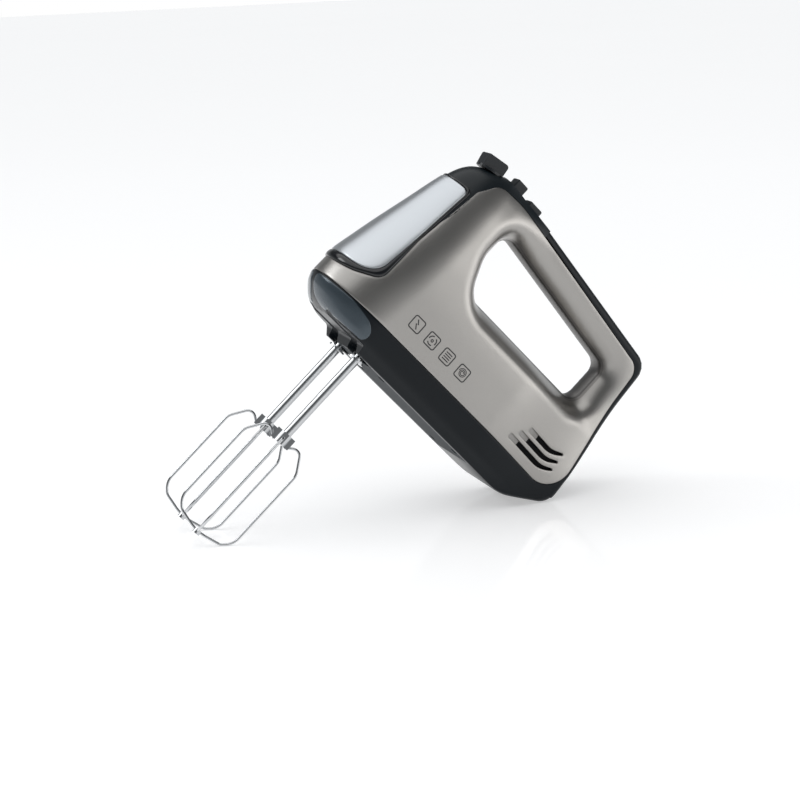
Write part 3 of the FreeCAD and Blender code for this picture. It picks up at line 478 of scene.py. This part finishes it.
def add_tunnel(mesh, surface, ring, upper, lower):
    """Fine rings from the shell's surface round the opening's edge, then across to the middle. The
    rings nearest the edge and the wall across get darker paint: painted shade.
    """
    previous = upper
    # shade 1 and 2 pick the darker copies of the paint: painted shade along the opening's edge
    for reach, shade in ((3.6, 0), (2.6, 0), (1.8, 0), (1.2, 1), (0.6, 1), (0.25, 2), (0.0, 2)):
        current = mesh.add([surface(*q) for q in to_skin(offset_loop(ring, reach))])
        mesh.strip(previous, current, shade=shade)
        previous = current
    for share in (0.75, 0.5, 0.25, 0.0):
        narrow = offset_loop(ring, share * share - 1.0)
        current = mesh.add([(q.x, HOLE_EDGE_HALF_WIDTH * share, q.y) for q in narrow])
        mesh.strip(previous, current, shade=2)
        previous = current
    inner = mesh.add([(q.x, 0.0, q.y) for q in offset_loop(ring, 2.0)])
    mesh.strip(previous, inner)
    mesh.strip(inner, lower)


# ---- materials ----------------------------------------------------------------------------------
def nodes_of(name):
    """New material, its node tree and its surface shader."""
    material = bpy.data.materials.new(name)
    material.use_nodes = True
    tree = material.node_tree
    return material, tree, tree.nodes["Principled BSDF"]


def finish_material(name, color, rough, metallic=0.0, grain=900.0, bump=0.02, spread=0.06, tint=0.08,
                    coat=0.0, coat_rough=0.1, specular=0.5, cloud=14.0):
    """Moulded or metal surface: fine grain in the bump, slow drift in colour and roughness."""
    material, tree, shader = nodes_of(name)
    shader.inputs["Metallic"].default_value = metallic
    shader.inputs["Coat Weight"].default_value = coat
    shader.inputs["Coat Roughness"].default_value = coat_rough
    shader.inputs["Specular IOR Level"].default_value = specular
    place = tree.nodes.new("ShaderNodeTexCoord")
    slow = tree.nodes.new("ShaderNodeTexNoise")
    slow.inputs["Scale"].default_value = cloud
    slow.inputs["Detail"].default_value = 4.0
    fine = tree.nodes.new("ShaderNodeTexNoise")
    fine.inputs["Scale"].default_value = grain
    fine.inputs["Detail"].default_value = 3.0
    for noise in (slow, fine):
        tree.links.new(place.outputs["Object"], noise.inputs["Vector"])
    ramp = tree.nodes.new("ShaderNodeValToRGB")
    ramp.color_ramp.elements[0].position = 0.3
    ramp.color_ramp.elements[1].position = 0.7
    ramp.color_ramp.elements[0].color = [c * (1 - tint) for c in color] + [1]
    ramp.color_ramp.elements[1].color = [min(1.0, c * (1 + tint)) for c in color] + [1]
    mix = tree.nodes.new("ShaderNodeMath")
    mix.operation = "ADD"
    half = tree.nodes.new("ShaderNodeMath")
    half.operation = "MULTIPLY"
    half.inputs[1].default_value = 0.5
    tree.links.new(slow.outputs["Fac"], mix.inputs[0])
    tree.links.new(fine.outputs["Fac"], mix.inputs[1])
    tree.links.new(mix.outputs[0], half.inputs[0])
    tree.links.new(half.outputs[0], ramp.inputs["Fac"])
    tree.links.new(ramp.outputs["Color"], shader.inputs["Base Color"])
    span = tree.nodes.new("ShaderNodeMapRange")
    span.inputs["To Min"].default_value = max(0.02, rough - spread)
    span.inputs["To Max"].default_value = rough + spread
    tree.links.new(half.outputs[0], span.inputs["Value"])
    tree.links.new(span.outputs["Result"], shader.inputs["Roughness"])
    relief = tree.nodes.new("ShaderNodeBump")
    relief.inputs["Strength"].default_value = bump
    relief.inputs["Distance"].default_value = 0.0002
    tree.links.new(fine.outputs["Fac"], relief.inputs["Height"])
    tree.links.new(relief.outputs["Normal"], shader.inputs["Normal"])
    return material


TITANIUM = finish_material("titanium_paint", (0.355, 0.343, 0.327), 0.32, 0.95, 2600, 0.10, 0.05, 0.05)
# darker copies of the titanium paint for the handle opening's edge and inner wall: painted shade
PAINTED_SHADE_RIM = finish_material("opening_rim_painted_shade", (0.26, 0.25, 0.24), 0.36, 0.95, 2600, 0.10, 0.05, 0.05)
PAINTED_SHADE_WALL = finish_material("opening_wall_painted_shade", (0.15, 0.145, 0.14), 0.40, 0.95, 2600, 0.10, 0.05, 0.05)
DARK = finish_material("dark_moulding", (0.0035, 0.006, 0.0085), 0.30, 0.0, 1500, 0.03, 0.05, 0.1,
                       specular=0.2)
UNDERSIDE = finish_material("underside_moulding", (0.012, 0.018, 0.023), 0.62, 0.0, 1500, 0.05, 0.05,
                            0.1, specular=0.2)
CAP_DARK = finish_material("cap_moulding", (0.006, 0.010, 0.013), 0.34, 0.0, 1500, 0.04, 0.05, 0.1,
                           specular=0.3)
PANEL = finish_material("nose_panel_gloss", (0.055, 0.074, 0.09), 0.22, 0.35, 1500, 0.02, 0.03, 0.08,
                        coat=0.3, coat_rough=0.1)
SEAL = finish_material("seal_gloss", (0.006, 0.007, 0.009), 0.13, 0.0, 1200, 0.02, 0.03, 0.1)
SILVER = finish_material("cover_satin_silver", (0.55, 0.575, 0.60), 0.34, 0.9, 2600, 0.06, 0.04, 0.03)
CHROME = finish_material("beater_chrome", (0.56, 0.57, 0.58), 0.10, 1.0, 1200, 0.02, 0.04, 0.04)
STEEL = finish_material("machined_steel", (0.50, 0.50, 0.50), 0.32, 1.0, 1500, 0.1, 0.08, 0.08)
COPPER = finish_material("wound_copper", (0.62, 0.29, 0.13), 0.35, 1.0, 1800, 0.3, 0.1, 0.15)
BRONZE = finish_material("sintered_bronze", (0.45, 0.30, 0.14), 0.5, 0.9, 1800, 0.2, 0.1, 0.15)
FRAME_GREY = finish_material("frame_moulding", (0.16, 0.16, 0.17), 0.5, 0.0, 900, 0.1, 0.06, 0.1)
GEAR_CREAM = finish_material("gear_moulding", (0.78, 0.75, 0.66), 0.42, 0.0, 900, 0.06, 0.06, 0.05)
BUTTON = finish_material("button_moulding", (0.010, 0.013, 0.016), 0.34, 0.0, 1500, 0.05, 0.05, 0.1,
                         specular=0.4)
BOARD = finish_material("board_laminate", (0.05, 0.2, 0.09), 0.4, 0.0, 900, 0.1, 0.06, 0.1)
CARBON = finish_material("sintered_carbon", (0.03, 0.03, 0.03), 0.7, 0.0, 900, 0.2, 0.1, 0.1)
INLET_RUBBER = finish_material("inlet_rubber", (0.012, 0.012, 0.013), 0.6, 0.0, 900, 0.1, 0.06, 0.1)
INK = finish_material("badge_ink", (0.016, 0.016, 0.018), 0.5, 0.0, 900, 0.02, 0.04, 0.05)
# near-black sheet behind the vent slots: painted shade for the inside seen through them
VENT_PAINTED_SHADE = finish_material("vent_painted_shade", (0.004, 0.004, 0.005), 0.7, 0.0, 900, 0.05, 0.05, 0.1,
                             specular=0.1)
RAMP = finish_material("vent_ramp_grey", (0.30, 0.29, 0.28), 0.45, 0.6, 900, 0.05, 0.05, 0.1)
FLOOR = finish_material("studio_floor", (0.93, 0.93, 0.935), 0.10, 0.0, 60, 0.0, 0.02, 0.004, cloud=2.0,
                        specular=0.7)

BY_SLOT = {
    "shell_metallic": TITANIUM, "dark_plastic": DARK, "panel_plastic": PANEL, "seal_black": SEAL,
    "cover_silver": SILVER, "chrome_wire": CHROME, "steel": STEEL, "copper": COPPER,
    "frame_plastic": FRAME_GREY, "gear_plastic": GEAR_CREAM, "button_plastic": BUTTON,
    "knob_plastic": BUTTON, "board_green": BOARD, "carbon": CARBON, "bronze": BRONZE,
    "rubber_black": INLET_RUBBER,
}


def dress_cad_nodes():
    """Gives every CAD node the procedural material of its slot."""
    slots = {row["node"]: row["material_slot"] for row in frame["record"]["subparts"]}
    for name, piece in frame["nodes"].items():
        material = {"top_cap": CAP_DARK, "bottom_plate": UNDERSIDE}.get(name, BY_SLOT[slots[name]])
        for place in piece.material_slots:
            place.material = material


# ---- shells -------------------------------------------------------------------------------------
VENT_FIRST = (-118.8, -155.5, 45.0)      # front end, rear end and height of the top slot
VENT_STEP = (4.95, -0.5, -6.3)           # from one slot to the next one down
VENT_COUNT = 3
VENT_HALF_WIDTH = 1.7
RAMP_LENGTH = 11.0


def vent_rows():
    """Front end, rear end and height of the slots low at the rear."""
    return [tuple(a + b * k for a, b in zip(VENT_FIRST, VENT_STEP)) for k in range(VENT_COUNT)]


def vent_outlines():
    """Slots that run straight back and then sweep up to a narrow end."""
    half = VENT_HALF_WIDTH
    return [outline([
        (front, w + half, 1.4), (front, w - half, 1.4), (rear + 10, w - half, 24),
        (rear, w + 4.4, 0.4), (rear + 0.8, w + 5.6, 0.4), (rear + 10.5, w + half, 22)], 0.8)
        for front, rear, w in vent_rows()]


def add_vent_ramps():
    """Grey floor that slopes down into the front third of every slot."""
    mesh = Mesh()
    for front, _, w in vent_rows():
        rings = []
        for k in range(7):
            u = front - RAMP_LENGTH * k / 6
            depth = 0.5 + 1.7 * k / 6
            side = VENT_HALF_WIDTH + 0.4
            corners = ((w + side, depth), (w - side, depth), (w - side, depth + 0.5),
                       (w + side, depth + 0.5))
            rings.append(mesh.add([lifted(plain, along_skin(u, x), x, d) for x, d in corners]))
        for a, b in zip(rings, rings[1:]):
            mesh.strip(a, b)
        mesh.faces += [tuple(rings[0]), tuple(rings[-1])]
    mesh.make("left_vent_ramps", RAMP, slot="shell_metallic")
    mesh.make("right_vent_ramps", RAMP, slot="shell_metallic", mirror=True)


def add_shells():
    """Two metallic shells with the handle opening and the vents, painted darker round the opening's
    edge as painted shade, and a dark sheet behind the vents as painted shade for their inside.
    """
    mesh = patch(outer, shell_outline(), vent_outlines(), [hole_outline()])
    for side, mirror in (("left", False), ("right", True)):
        shell = mesh.make(side + "_shell_skin", TITANIUM, replaces=[side + "_shell"],
                          slot="shell_metallic", mirror=mirror)
        # the two darker materials paint shade round the handle opening
        shell.data.materials.append(PAINTED_SHADE_RIM)
        shell.data.materials.append(PAINTED_SHADE_WALL)
    add_vent_ramps()
    # dark sheet behind the slots: painted shade for the inside seen through them
    back = patch(plain, outline([(-106, 27.5, 2), (-160, 27.5, 2), (-160, 54, 2), (-106, 54, 2)]),
                 thickness=1.0, proud=-2.6, grid=3.0)
    back.make("left_vent_shade_sheet", VENT_PAINTED_SHADE, slot="dark_plastic")
    back.make("right_vent_shade_sheet", VENT_PAINTED_SHADE, slot="dark_plastic", mirror=True)


# ---- base ---------------------------------------------------------------------------------------
def rear_edge():
    """(w, u) along the rear of the profile, from the underside up."""
    points = [q for q in profile_outline() if q.x < -100 and q.y < 130]
    return sorted((q.y, q.x) for q in points)


def base_ring(w, inset):
    """Half of one level of the base, from the nose's tip to the middle of the rear.

    inset brings it in by about that much all round; the base is some 40 mm to each side.
    """
    rear = through_line(REAR_EDGE, w) + inset
    points = []
    for k in range(25):
        u, y = skin_point(NOSE_ARC * (1 - k / 24), w)
        points.append((u, y))
    _, _, centre, *_ = section(w)
    for k in range(1, 41):
        u = centre + (rear + REAR_CORNER - centre) * k / 40
        points.append(skin_point(u - centre, w))
    side = points[-1][1]
    for k in range(1, 9):
        turn = math.pi / 16 * k
        points.append((rear + REAR_CORNER * (1 - math.sin(turn)),
                       side - REAR_CORNER * (1 - math.cos(turn))))
    flat = points[-1][1]
    points += [(rear, flat * (1 - k / 5)) for k in range(1, 6)]
    return [(u - (inset if u > centre else 0), y * (1 - inset / 40)) for u, y in points]


REAR_EDGE = rear_edge()


def base_stack(levels):
    """Closed stack of rings of the base, each a height and how far it stands in from the skin."""
    mesh = Mesh()
    rings = []
    for w, inset in levels:
        half = base_ring(min(w, BELT), inset)
        rings.append(mesh.add([(u, y, w) for u, y in half] + [(u, -y, w) for u, y in half[-2:0:-1]]))
    for a, b in zip(rings, rings[1:]):
        mesh.strip(a, b)
    for ring in (rings[0], rings[-1]):
        n = len(ring)
        for i in range(1, n // 2):
            mesh.faces.append(tuple(dict.fromkeys(
                (ring[i - 1], ring[i], ring[n - i], ring[(n - i + 1) % n]))))
    return mesh


def add_base():
    """Dark base: a tub with its underside cut for the plate, the nose and the two sockets."""
    levels = [(0.0, 0.7), (0.12, 0.3), (0.4, 0.0)]
    levels += [(w, 0.0) for w in (0.9, 1.5, 2.2, 3, 4, 5, 6, 7.2, 8.5)]
    levels += [(w, 0.0) for w in (10, 12, 14, 16, 18, 20, 21.6, 22.7)]
    levels += [(23.1, 0.15), (23.35, 0.45), (BELT, 0.9)]
    hollow = base_stack([(w, BASE_WALL) for w in (HOLLOW_FLOOR, 12, 15, 18, 21, BELT + 2)])
    base = base_stack(levels).make(
        "base_tub_skin", DARK, replaces=["base_tub"], slot="dark_plastic", crease=32)
    cut(base, [plate_recess(), nose_step(), hollow] + notches())


def box_mesh(u0, u1, y0, y1, w0, w1):
    """Closed box between two opposite corners."""
    mesh = Mesh()
    low = mesh.add([(u0, y0, w0), (u1, y0, w0), (u1, y1, w0), (u0, y1, w0)])
    high = mesh.add([(u0, y0, w1), (u1, y0, w1), (u1, y1, w1), (u0, y1, w1)])
    mesh.strip(low, high)
    mesh.faces += [tuple(low), tuple(high)]
    return mesh


def plate_recess():
    return box_mesh(PLATE_REAR, PLATE_FRONT, -PLATE_HALF_WIDTH, PLATE_HALF_WIDTH, -2, PLATE_THICKNESS)


def nose_step():
    """Wedge under the nose, its corner rounded towards the rest of the underside."""
    mesh = Mesh()
    low, high = -5.0, NOSE_FLOOR
    side = outline([
        (NOSE_STEP - 2.5, low, 0), (NOSE_STEP, 0, 4), (NOSE_STEP + 3, high, 2), (FAR, high, 0),
        (FAR, low, 0)], 0.5)
    rings = [mesh.add([(q.x, y, q.y) for q in side]) for y in (-60, 60)]
    mesh.strip(*rings)
    mesh.faces += [tuple(rings[0]), tuple(rings[1])]
    return mesh


def rod_mesh(start, axis, length, radius, count=48):
    """Closed round bar from start along axis."""
    mesh = Mesh()
    side = Vector(axis).orthogonal().normalized()
    third = Vector(axis).cross(side)
    rings = []
    for t in (0, length):
        rings.append(mesh.add([
            Vector(start) + Vector(axis) * t + (side * math.cos(2 * math.pi * k / count)
                                                + third * math.sin(2 * math.pi * k / count)) * radius
            for k in range(count)]))
    mesh.strip(*rings)
    mesh.faces += [tuple(rings[0]), tuple(rings[1])]
    return mesh


def notches():
    """Cutters for the groove and the socket of each beater."""
    cutters = []
    for y in (BEATER_OFFSET, -BEATER_OFFSET):
        cutters.append(rod_mesh((-NOTCH_RADIUS, y, NOTCH_HEIGHT), (1, 0, 0), 90, NOTCH_RADIUS, 64))
        cutters.append(rod_mesh((0, y, -5), (0, 0, 1), 40, SOCKET_RADIUS))
    return cutters


def cut(piece, cutters):
    """Cuts the meshes out of the piece for good."""
    for cutter in cutters:
        bm = bmesh.new()
        verts = [bm.verts.new(p) for p in cutter.points]
        for face in cutter.faces:
            bm.faces.new([verts[i] for i in face])
        bmesh.ops.recalc_face_normals(bm, faces=bm.faces[:])
        bm.transform(MIXER)
        mesh = bpy.data.meshes.new("cutter")
        bm.to_mesh(mesh)
        bm.free()
        tool = bpy.data.objects.new("cutter", mesh)
        bpy.context.scene.collection.objects.link(tool)
        modifier = piece.modifiers.new("cut", "BOOLEAN")
        modifier.operation = "DIFFERENCE"
        modifier.solver = "EXACT"
        modifier.object = tool
        graph = bpy.context.evaluated_depsgraph_get()
        result = bpy.data.meshes.new_from_object(piece.evaluated_get(graph))
        piece.modifiers.clear()
        piece.data = result
        bpy.data.objects.remove(tool)
    soften(piece, 32)


def add_nose_panel():
    """Grey window on each side of the nose, drawn in distances along the skin from the widest place."""
    top = BELT - 1.3
    front = NOSE_ARC - 2.6
    loop = outline([
        (front, top, 5), (front, 10.5, 6), (front - 8, 7.0, 10), (-1, 7.0, 5), (7, 19, 14),
        (24, top, 20)])
    mesh = patch(plain, loop, thickness=2.0, proud=0.3, grid=1.6, roll=0.5, flatten=list)
    for name, mirror in (("left", False), ("right", True)):
        panel = mesh.make(name + "_nose_panel_skin", PANEL, replaces=["nose_panel"],
                          slot="panel_plastic", mirror=mirror)
        cut(panel, notches())


# ---- spine --------------------------------------------------------------------------------------
def add_spine():
    """Dark strip over the grip and down the rear, its long edges rounded over."""
    corners = [(-41, 145.25, 0), SHELL_REAR[1], SHELL_REAR[0], (-60, BELT, 0)]
    inner = outline(corners, 1.6, closed=False)
    inner = [q for q in inner if not (q.y < BELT + 0.01 and q.x > REAR_FACE + 22.6)]
    profile = [q for q in profile_outline() if q.x < -30]
    tree = kd_of(profile)
    mesh = Mesh()
    rings = []
    for q in inner:
        near = profile[tree.find((q.x, q.y, 0))[1]]
        if q.x < -150 and q.y < HEEL_TOP:
            w = max(q.y, BELT)
            near = Vector((through_line(REAR_EDGE, w), w))
        rings.append(mesh.add(spine_section(q, near)))
    for a, b in zip(rings, rings[1:]):
        mesh.strip(a, b)
    mesh.faces += [tuple(rings[0]), tuple(rings[-1])]
    spine = mesh.make("handle_spine_skin", DARK, replaces=["handle_spine"], slot="dark_plastic",
                      crease=35)
    cut(spine, [rod_mesh((-TAIL_REACH - 12, 0, 70), (1, 0, 0), 30, 7.02)])


def spine_section(a, b):
    """Closed ring round the strip at one place, from the shell's edge a over the outer line b."""
    reach = b - a
    depth = reach.length
    roll = min(depth - 0.2, SPINE_ROLL)
    half = []
    for k in range(5):
        q = a + reach * ((depth - roll) / depth * k / 4)
        half.append(Vector((q.x, skin_point(along_skin(q.x, q.y), q.y)[1], q.y)))
    edge = half[-1].y
    start = a + reach * ((depth - roll) / depth)
    for k in range(1, 8):
        turn = math.pi / 14 * k
        q = start + reach / depth * roll * math.sin(turn)
        half.append(Vector((q.x, edge - SPINE_ROLL * (1 - math.cos(turn)), q.y)))
    lip = half[-1].y
    for k in range(1, 4):
        half.append(Vector((b.x, lip * (1 - k / 3), b.y)))
    return half + [Vector((v.x, -v.y, v.z)) for v in half[-2::-1]]


# ---- front cover and seal -----------------------------------------------------------------------
def cover_corners():
    return [(FAR, COVER_BOTTOM, 0), (35.8, COVER_BOTTOM, 16), (22, COVER_TOP, 3), (FAR, COVER_TOP, 0)]


def add_cover():
    """Silver cover over the front, standing a little proud of the shells."""
    loop = outline(cover_corners(), 1.2)
    mesh = patch(plain, loop, thickness=1.9, proud=1.1, grid=1.8, roll=0.8)
    mesh.make("front_cover_skin", SILVER, replaces=["front_cover"], slot="cover_silver", both=True)


def add_seal():
    """Glossy bead that frames the cover, thickest under its lower corners."""
    outer_line = outline(
        [(FAR, SEAL_BOTTOM, 0)] + SEAL_EDGE[::-1] + [(20, COVER_TOP + 2, 3), (FAR, COVER_TOP + 2, 0)],
        1.2, closed=False)
    inner_dense = outline(cover_corners(), 0.3, closed=False)
    tree = kd_of(inner_dense)
    mesh = Mesh()
    rings = []
    for q in outer_line:
        near = inner_dense[tree.find((q.x, q.y, 0))[1]]
        ring = []
        for k in range(9):
            t = k / 8
            spot = q.lerp(near, t)
            share = min(1.0, (near - q).length / 3.0)
            bulge = 0.25 + 1.25 * math.sqrt(max(0.0, 1 - (2 * t - 1) ** 2)) * share
            ring.append(lifted(plain, along_skin(spot.x, spot.y), spot.y, -bulge))
        ring.append(lifted(plain, along_skin(near.x, near.y), near.y, 1.8))
        ring.append(lifted(plain, along_skin(q.x, q.y), q.y, 1.8))
        rings.append(mesh.add(ring))
    for a, b in zip(rings, rings[1:]):
        mesh.strip(a, b)
    mesh.make("front_cover_seal_skin", SEAL, replaces=["front_cover_seal"], slot="seal_black",
              both=True)


# ---- badges -------------------------------------------------------------------------------------
BADGE_HALF_SIDE = 4.6
INK_LIFT = 0.06              # how far the print stands above the paint


def stroke(points, width, closed=False):
    """Thin printed line on the left shell through (u, w) points."""
    mesh = Mesh()
    rows = []
    n = len(points)
    for i, q in enumerate(points):
        before = points[i - 1] if closed or i else q
        after = points[(i + 1) % n] if closed or i < n - 1 else q
        along = (Vector(after) - Vector(before)).normalized()
        side = Vector((along.y, -along.x)) * width / 2
        row = []
        for s, height in ((1, INK_LIFT), (-1, INK_LIFT), (-1, -0.3), (1, -0.3)):
            spot = Vector(q) + side * s
            row.append(lifted(outer, along_skin(spot.x, spot.y), spot.y, -height))
        rows.append(mesh.add(row))
    for a, b in zip(rows, rows[1:] + (rows[:1] if closed else [])):
        mesh.strip(a, b)
    if not closed:
        mesh.faces += [tuple(rows[0]), tuple(rows[-1])]
    return mesh


def ring_points(u, w, radius, start=0.0, sweep=360.0, count=24, shrink=0.0):
    """Points round (u, w) through sweep degrees; shrink turns the ring into a spiral."""
    points = []
    for k in range(count + (sweep < 360)):
        turn = math.radians(start + sweep * k / count)
        r = radius * (1 - shrink * k / count)
        points.append((u + r * math.cos(turn), w + r * math.sin(turn)))
    return points


def spark(u, w):
    return [stroke([(u + 1.6, w + 3), (u - 0.9, w + 0.2), (u + 1.0, w + 0.2), (u - 1.5, w - 3)], 0.8)]


def rotor(u, w):
    arcs = [stroke(ring_points(u, w, 3.1, turn, 80, 10), 0.8) for turn in (0, 120, 240)]
    return arcs + [stroke(ring_points(u, w, 0.8), 0.7, closed=True)]


def ribs(u, w):
    return [stroke([(u - 2.8, w + rise), (u + 2.8, w + rise)], 0.7) for rise in (-2.4, -0.8, 0.8, 2.4)]


def coil(u, w):
    return [stroke(ring_points(u, w, 3.2, 0, 900, 70, 0.75), 0.55)]


BADGES = [(-6, 39.6, spark), (-21.4, 39.1, rotor), (-36.8, 38.7, ribs), (-52.5, 38.3, coil)]


def add_badges():
    """Four square badges with plain pictograms on the left shell."""
    side = BADGE_HALF_SIDE
    for number, (u, w, pictogram) in enumerate(BADGES, 1):
        border = [tuple(q) for q in outline([
            (u + side, w + side, 1.4), (u - side, w + side, 1.4), (u - side, w - side, 1.4),
            (u + side, w - side, 1.4)], 0.6)]
        whole = Mesh()
        for part in [stroke(border, 0.8, closed=True)] + pictogram(u, w):
            base = len(whole.points)
            whole.points += part.points
            whole.faces += [tuple(i + base for i in face) for face in part.faces]
        whole.make("left_badge_%d" % number, INK, slot="dark_plastic")


# ---- floor, light and camera --------------------------------------------------------------------
FLOOR_REACH = 6.0


def add_floor():
    """Pale floor with a slight glow of its own, so that it comes out nearly white."""
    shader = FLOOR.node_tree.nodes["Principled BSDF"]
    shader.inputs["Emission Color"].default_value = (1, 1, 1, 1)
    shader.inputs["Emission Strength"].default_value = 0.42
    corners = [(x * FLOOR_REACH, y * FLOOR_REACH, 0) for x, y in ((-1, -1), (1, -1), (1, 1), (-1, 1))]
    mesh = bpy.data.meshes.new("floor")
    mesh.from_pydata(corners, [], [(0, 1, 2, 3)])
    floor = bpy.data.objects.new("floor", mesh)
    bpy.context.scene.collection.objects.link(floor)
    mesh.materials.append(FLOOR)


def add_light(name, place, aim, size, energy, color):
    """Rectangular softbox at place, turned towards aim."""
    data = bpy.data.lights.new(name, "AREA")
    data.shape = "RECTANGLE"
    data.size, data.size_y = size
    data.energy = energy
    data.color = color
    light = bpy.data.objects.new(name, data)
    bpy.context.scene.collection.objects.link(light)
    light.location = place
    light.rotation_euler = (Vector(place) - Vector(aim)).to_track_quat("Z", "Y").to_euler()


def add_world():
    """Dim surroundings for light and reflections, plain white where the camera sees past the object."""
    world = bpy.data.worlds.new("studio")
    bpy.context.scene.world = world
    world.use_nodes = True
    tree = world.node_tree
    surroundings = tree.nodes["Background"]
    place = tree.nodes.new("ShaderNodeTexCoord")
    split = tree.nodes.new("ShaderNodeSeparateXYZ")
    ramp = tree.nodes.new("ShaderNodeValToRGB")
    ramp.color_ramp.elements[0].position = 0.16
    ramp.color_ramp.elements[0].color = (0.42, 0.43, 0.44, 1)
    ramp.color_ramp.elements[1].position = 0.40
    ramp.color_ramp.elements[1].color = (0.12, 0.125, 0.13, 1)
    tree.links.new(place.outputs["Generated"], split.inputs[0])
    tree.links.new(split.outputs["Z"], ramp.inputs["Fac"])
    tree.links.new(ramp.outputs["Color"], surroundings.inputs["Color"])
    white = tree.nodes.new("ShaderNodeBackground")
    white.inputs["Color"].default_value = (1, 1, 1, 1)
    white.inputs["Strength"].default_value = 1.0
    path = tree.nodes.new("ShaderNodeLightPath")
    mix = tree.nodes.new("ShaderNodeMixShader")
    tree.links.new(path.outputs["Is Camera Ray"], mix.inputs["Fac"])
    tree.links.new(surroundings.outputs[0], mix.inputs[1])
    tree.links.new(white.outputs[0], mix.inputs[2])
    tree.links.new(mix.outputs[0], tree.nodes["World Output"].inputs["Surface"])


def add_lights():
    """Soft sky from above, a low softbox past the heel and a small high one ahead of the nose."""
    bpy.context.scene.view_settings.view_transform = "Standard"
    data = bpy.data.lights.new("soft_sky", "SUN")
    data.energy = 1.75
    data.angle = math.radians(84)
    data.color = (0.99, 0.995, 1.0)
    sky = bpy.data.objects.new("soft_sky", data)
    bpy.context.scene.collection.objects.link(sky)
    sky.rotation_euler = Vector((-0.14, 0.10, 1.0)).to_track_quat("Z", "Y").to_euler()
    middle = (0, 0, 0.12)
    add_light("low_softbox", (1.15, -0.8, 0.2), middle, (1.1, 0.6), 3.5, (1.0, 0.99, 0.98))
    add_light("left_softbox", (-1.0, 0.5, 1.1), middle, (0.5, 0.5), 3, (0.96, 0.98, 1.0))


CAMERA_BACK = (0.3985, 0.9132, -0.0845)     # from the mixer towards the camera
CAMERA_UP = (0.6454, -0.2139, 0.7333)
CAMERA_AIM = (-50.6, 0, 0.97)
CAMERA_DISTANCE = 1.4145                    # metres
CAMERA_LENS = 95.5


def mixer_direction(v):
    """A direction given in the mixer's own frame, in the row frame."""
    return (FORWARD * v[0] + LEFT * v[1] + UPWARD * v[2]).normalized()


def add_camera():
    """Camera fixed to the mixer's own frame, as the mixer is seen from its front left."""
    back = mixer_direction(CAMERA_BACK)
    up = mixer_direction(CAMERA_UP)
    right = up.cross(back).normalized()
    up = back.cross(right)
    data = bpy.data.cameras.new("camera")
    data.sensor_width = 36
    data.lens = CAMERA_LENS
    camera = bpy.data.objects.new("camera", data)
    bpy.context.scene.collection.objects.link(camera)
    aim = MIXER @ Vector(CAMERA_AIM)
    turn = Matrix((right, up, back)).transposed().to_4x4()
    camera.matrix_world = Matrix.Translation(aim + back * CAMERA_DISTANCE) @ turn
    bpy.context.scene.camera = camera


dress_cad_nodes()
add_shells()
add_base()
add_nose_panel()
add_spine()
add_cover()
add_seal()
add_badges()
add_floor()
add_world()
add_lights()
add_camera()
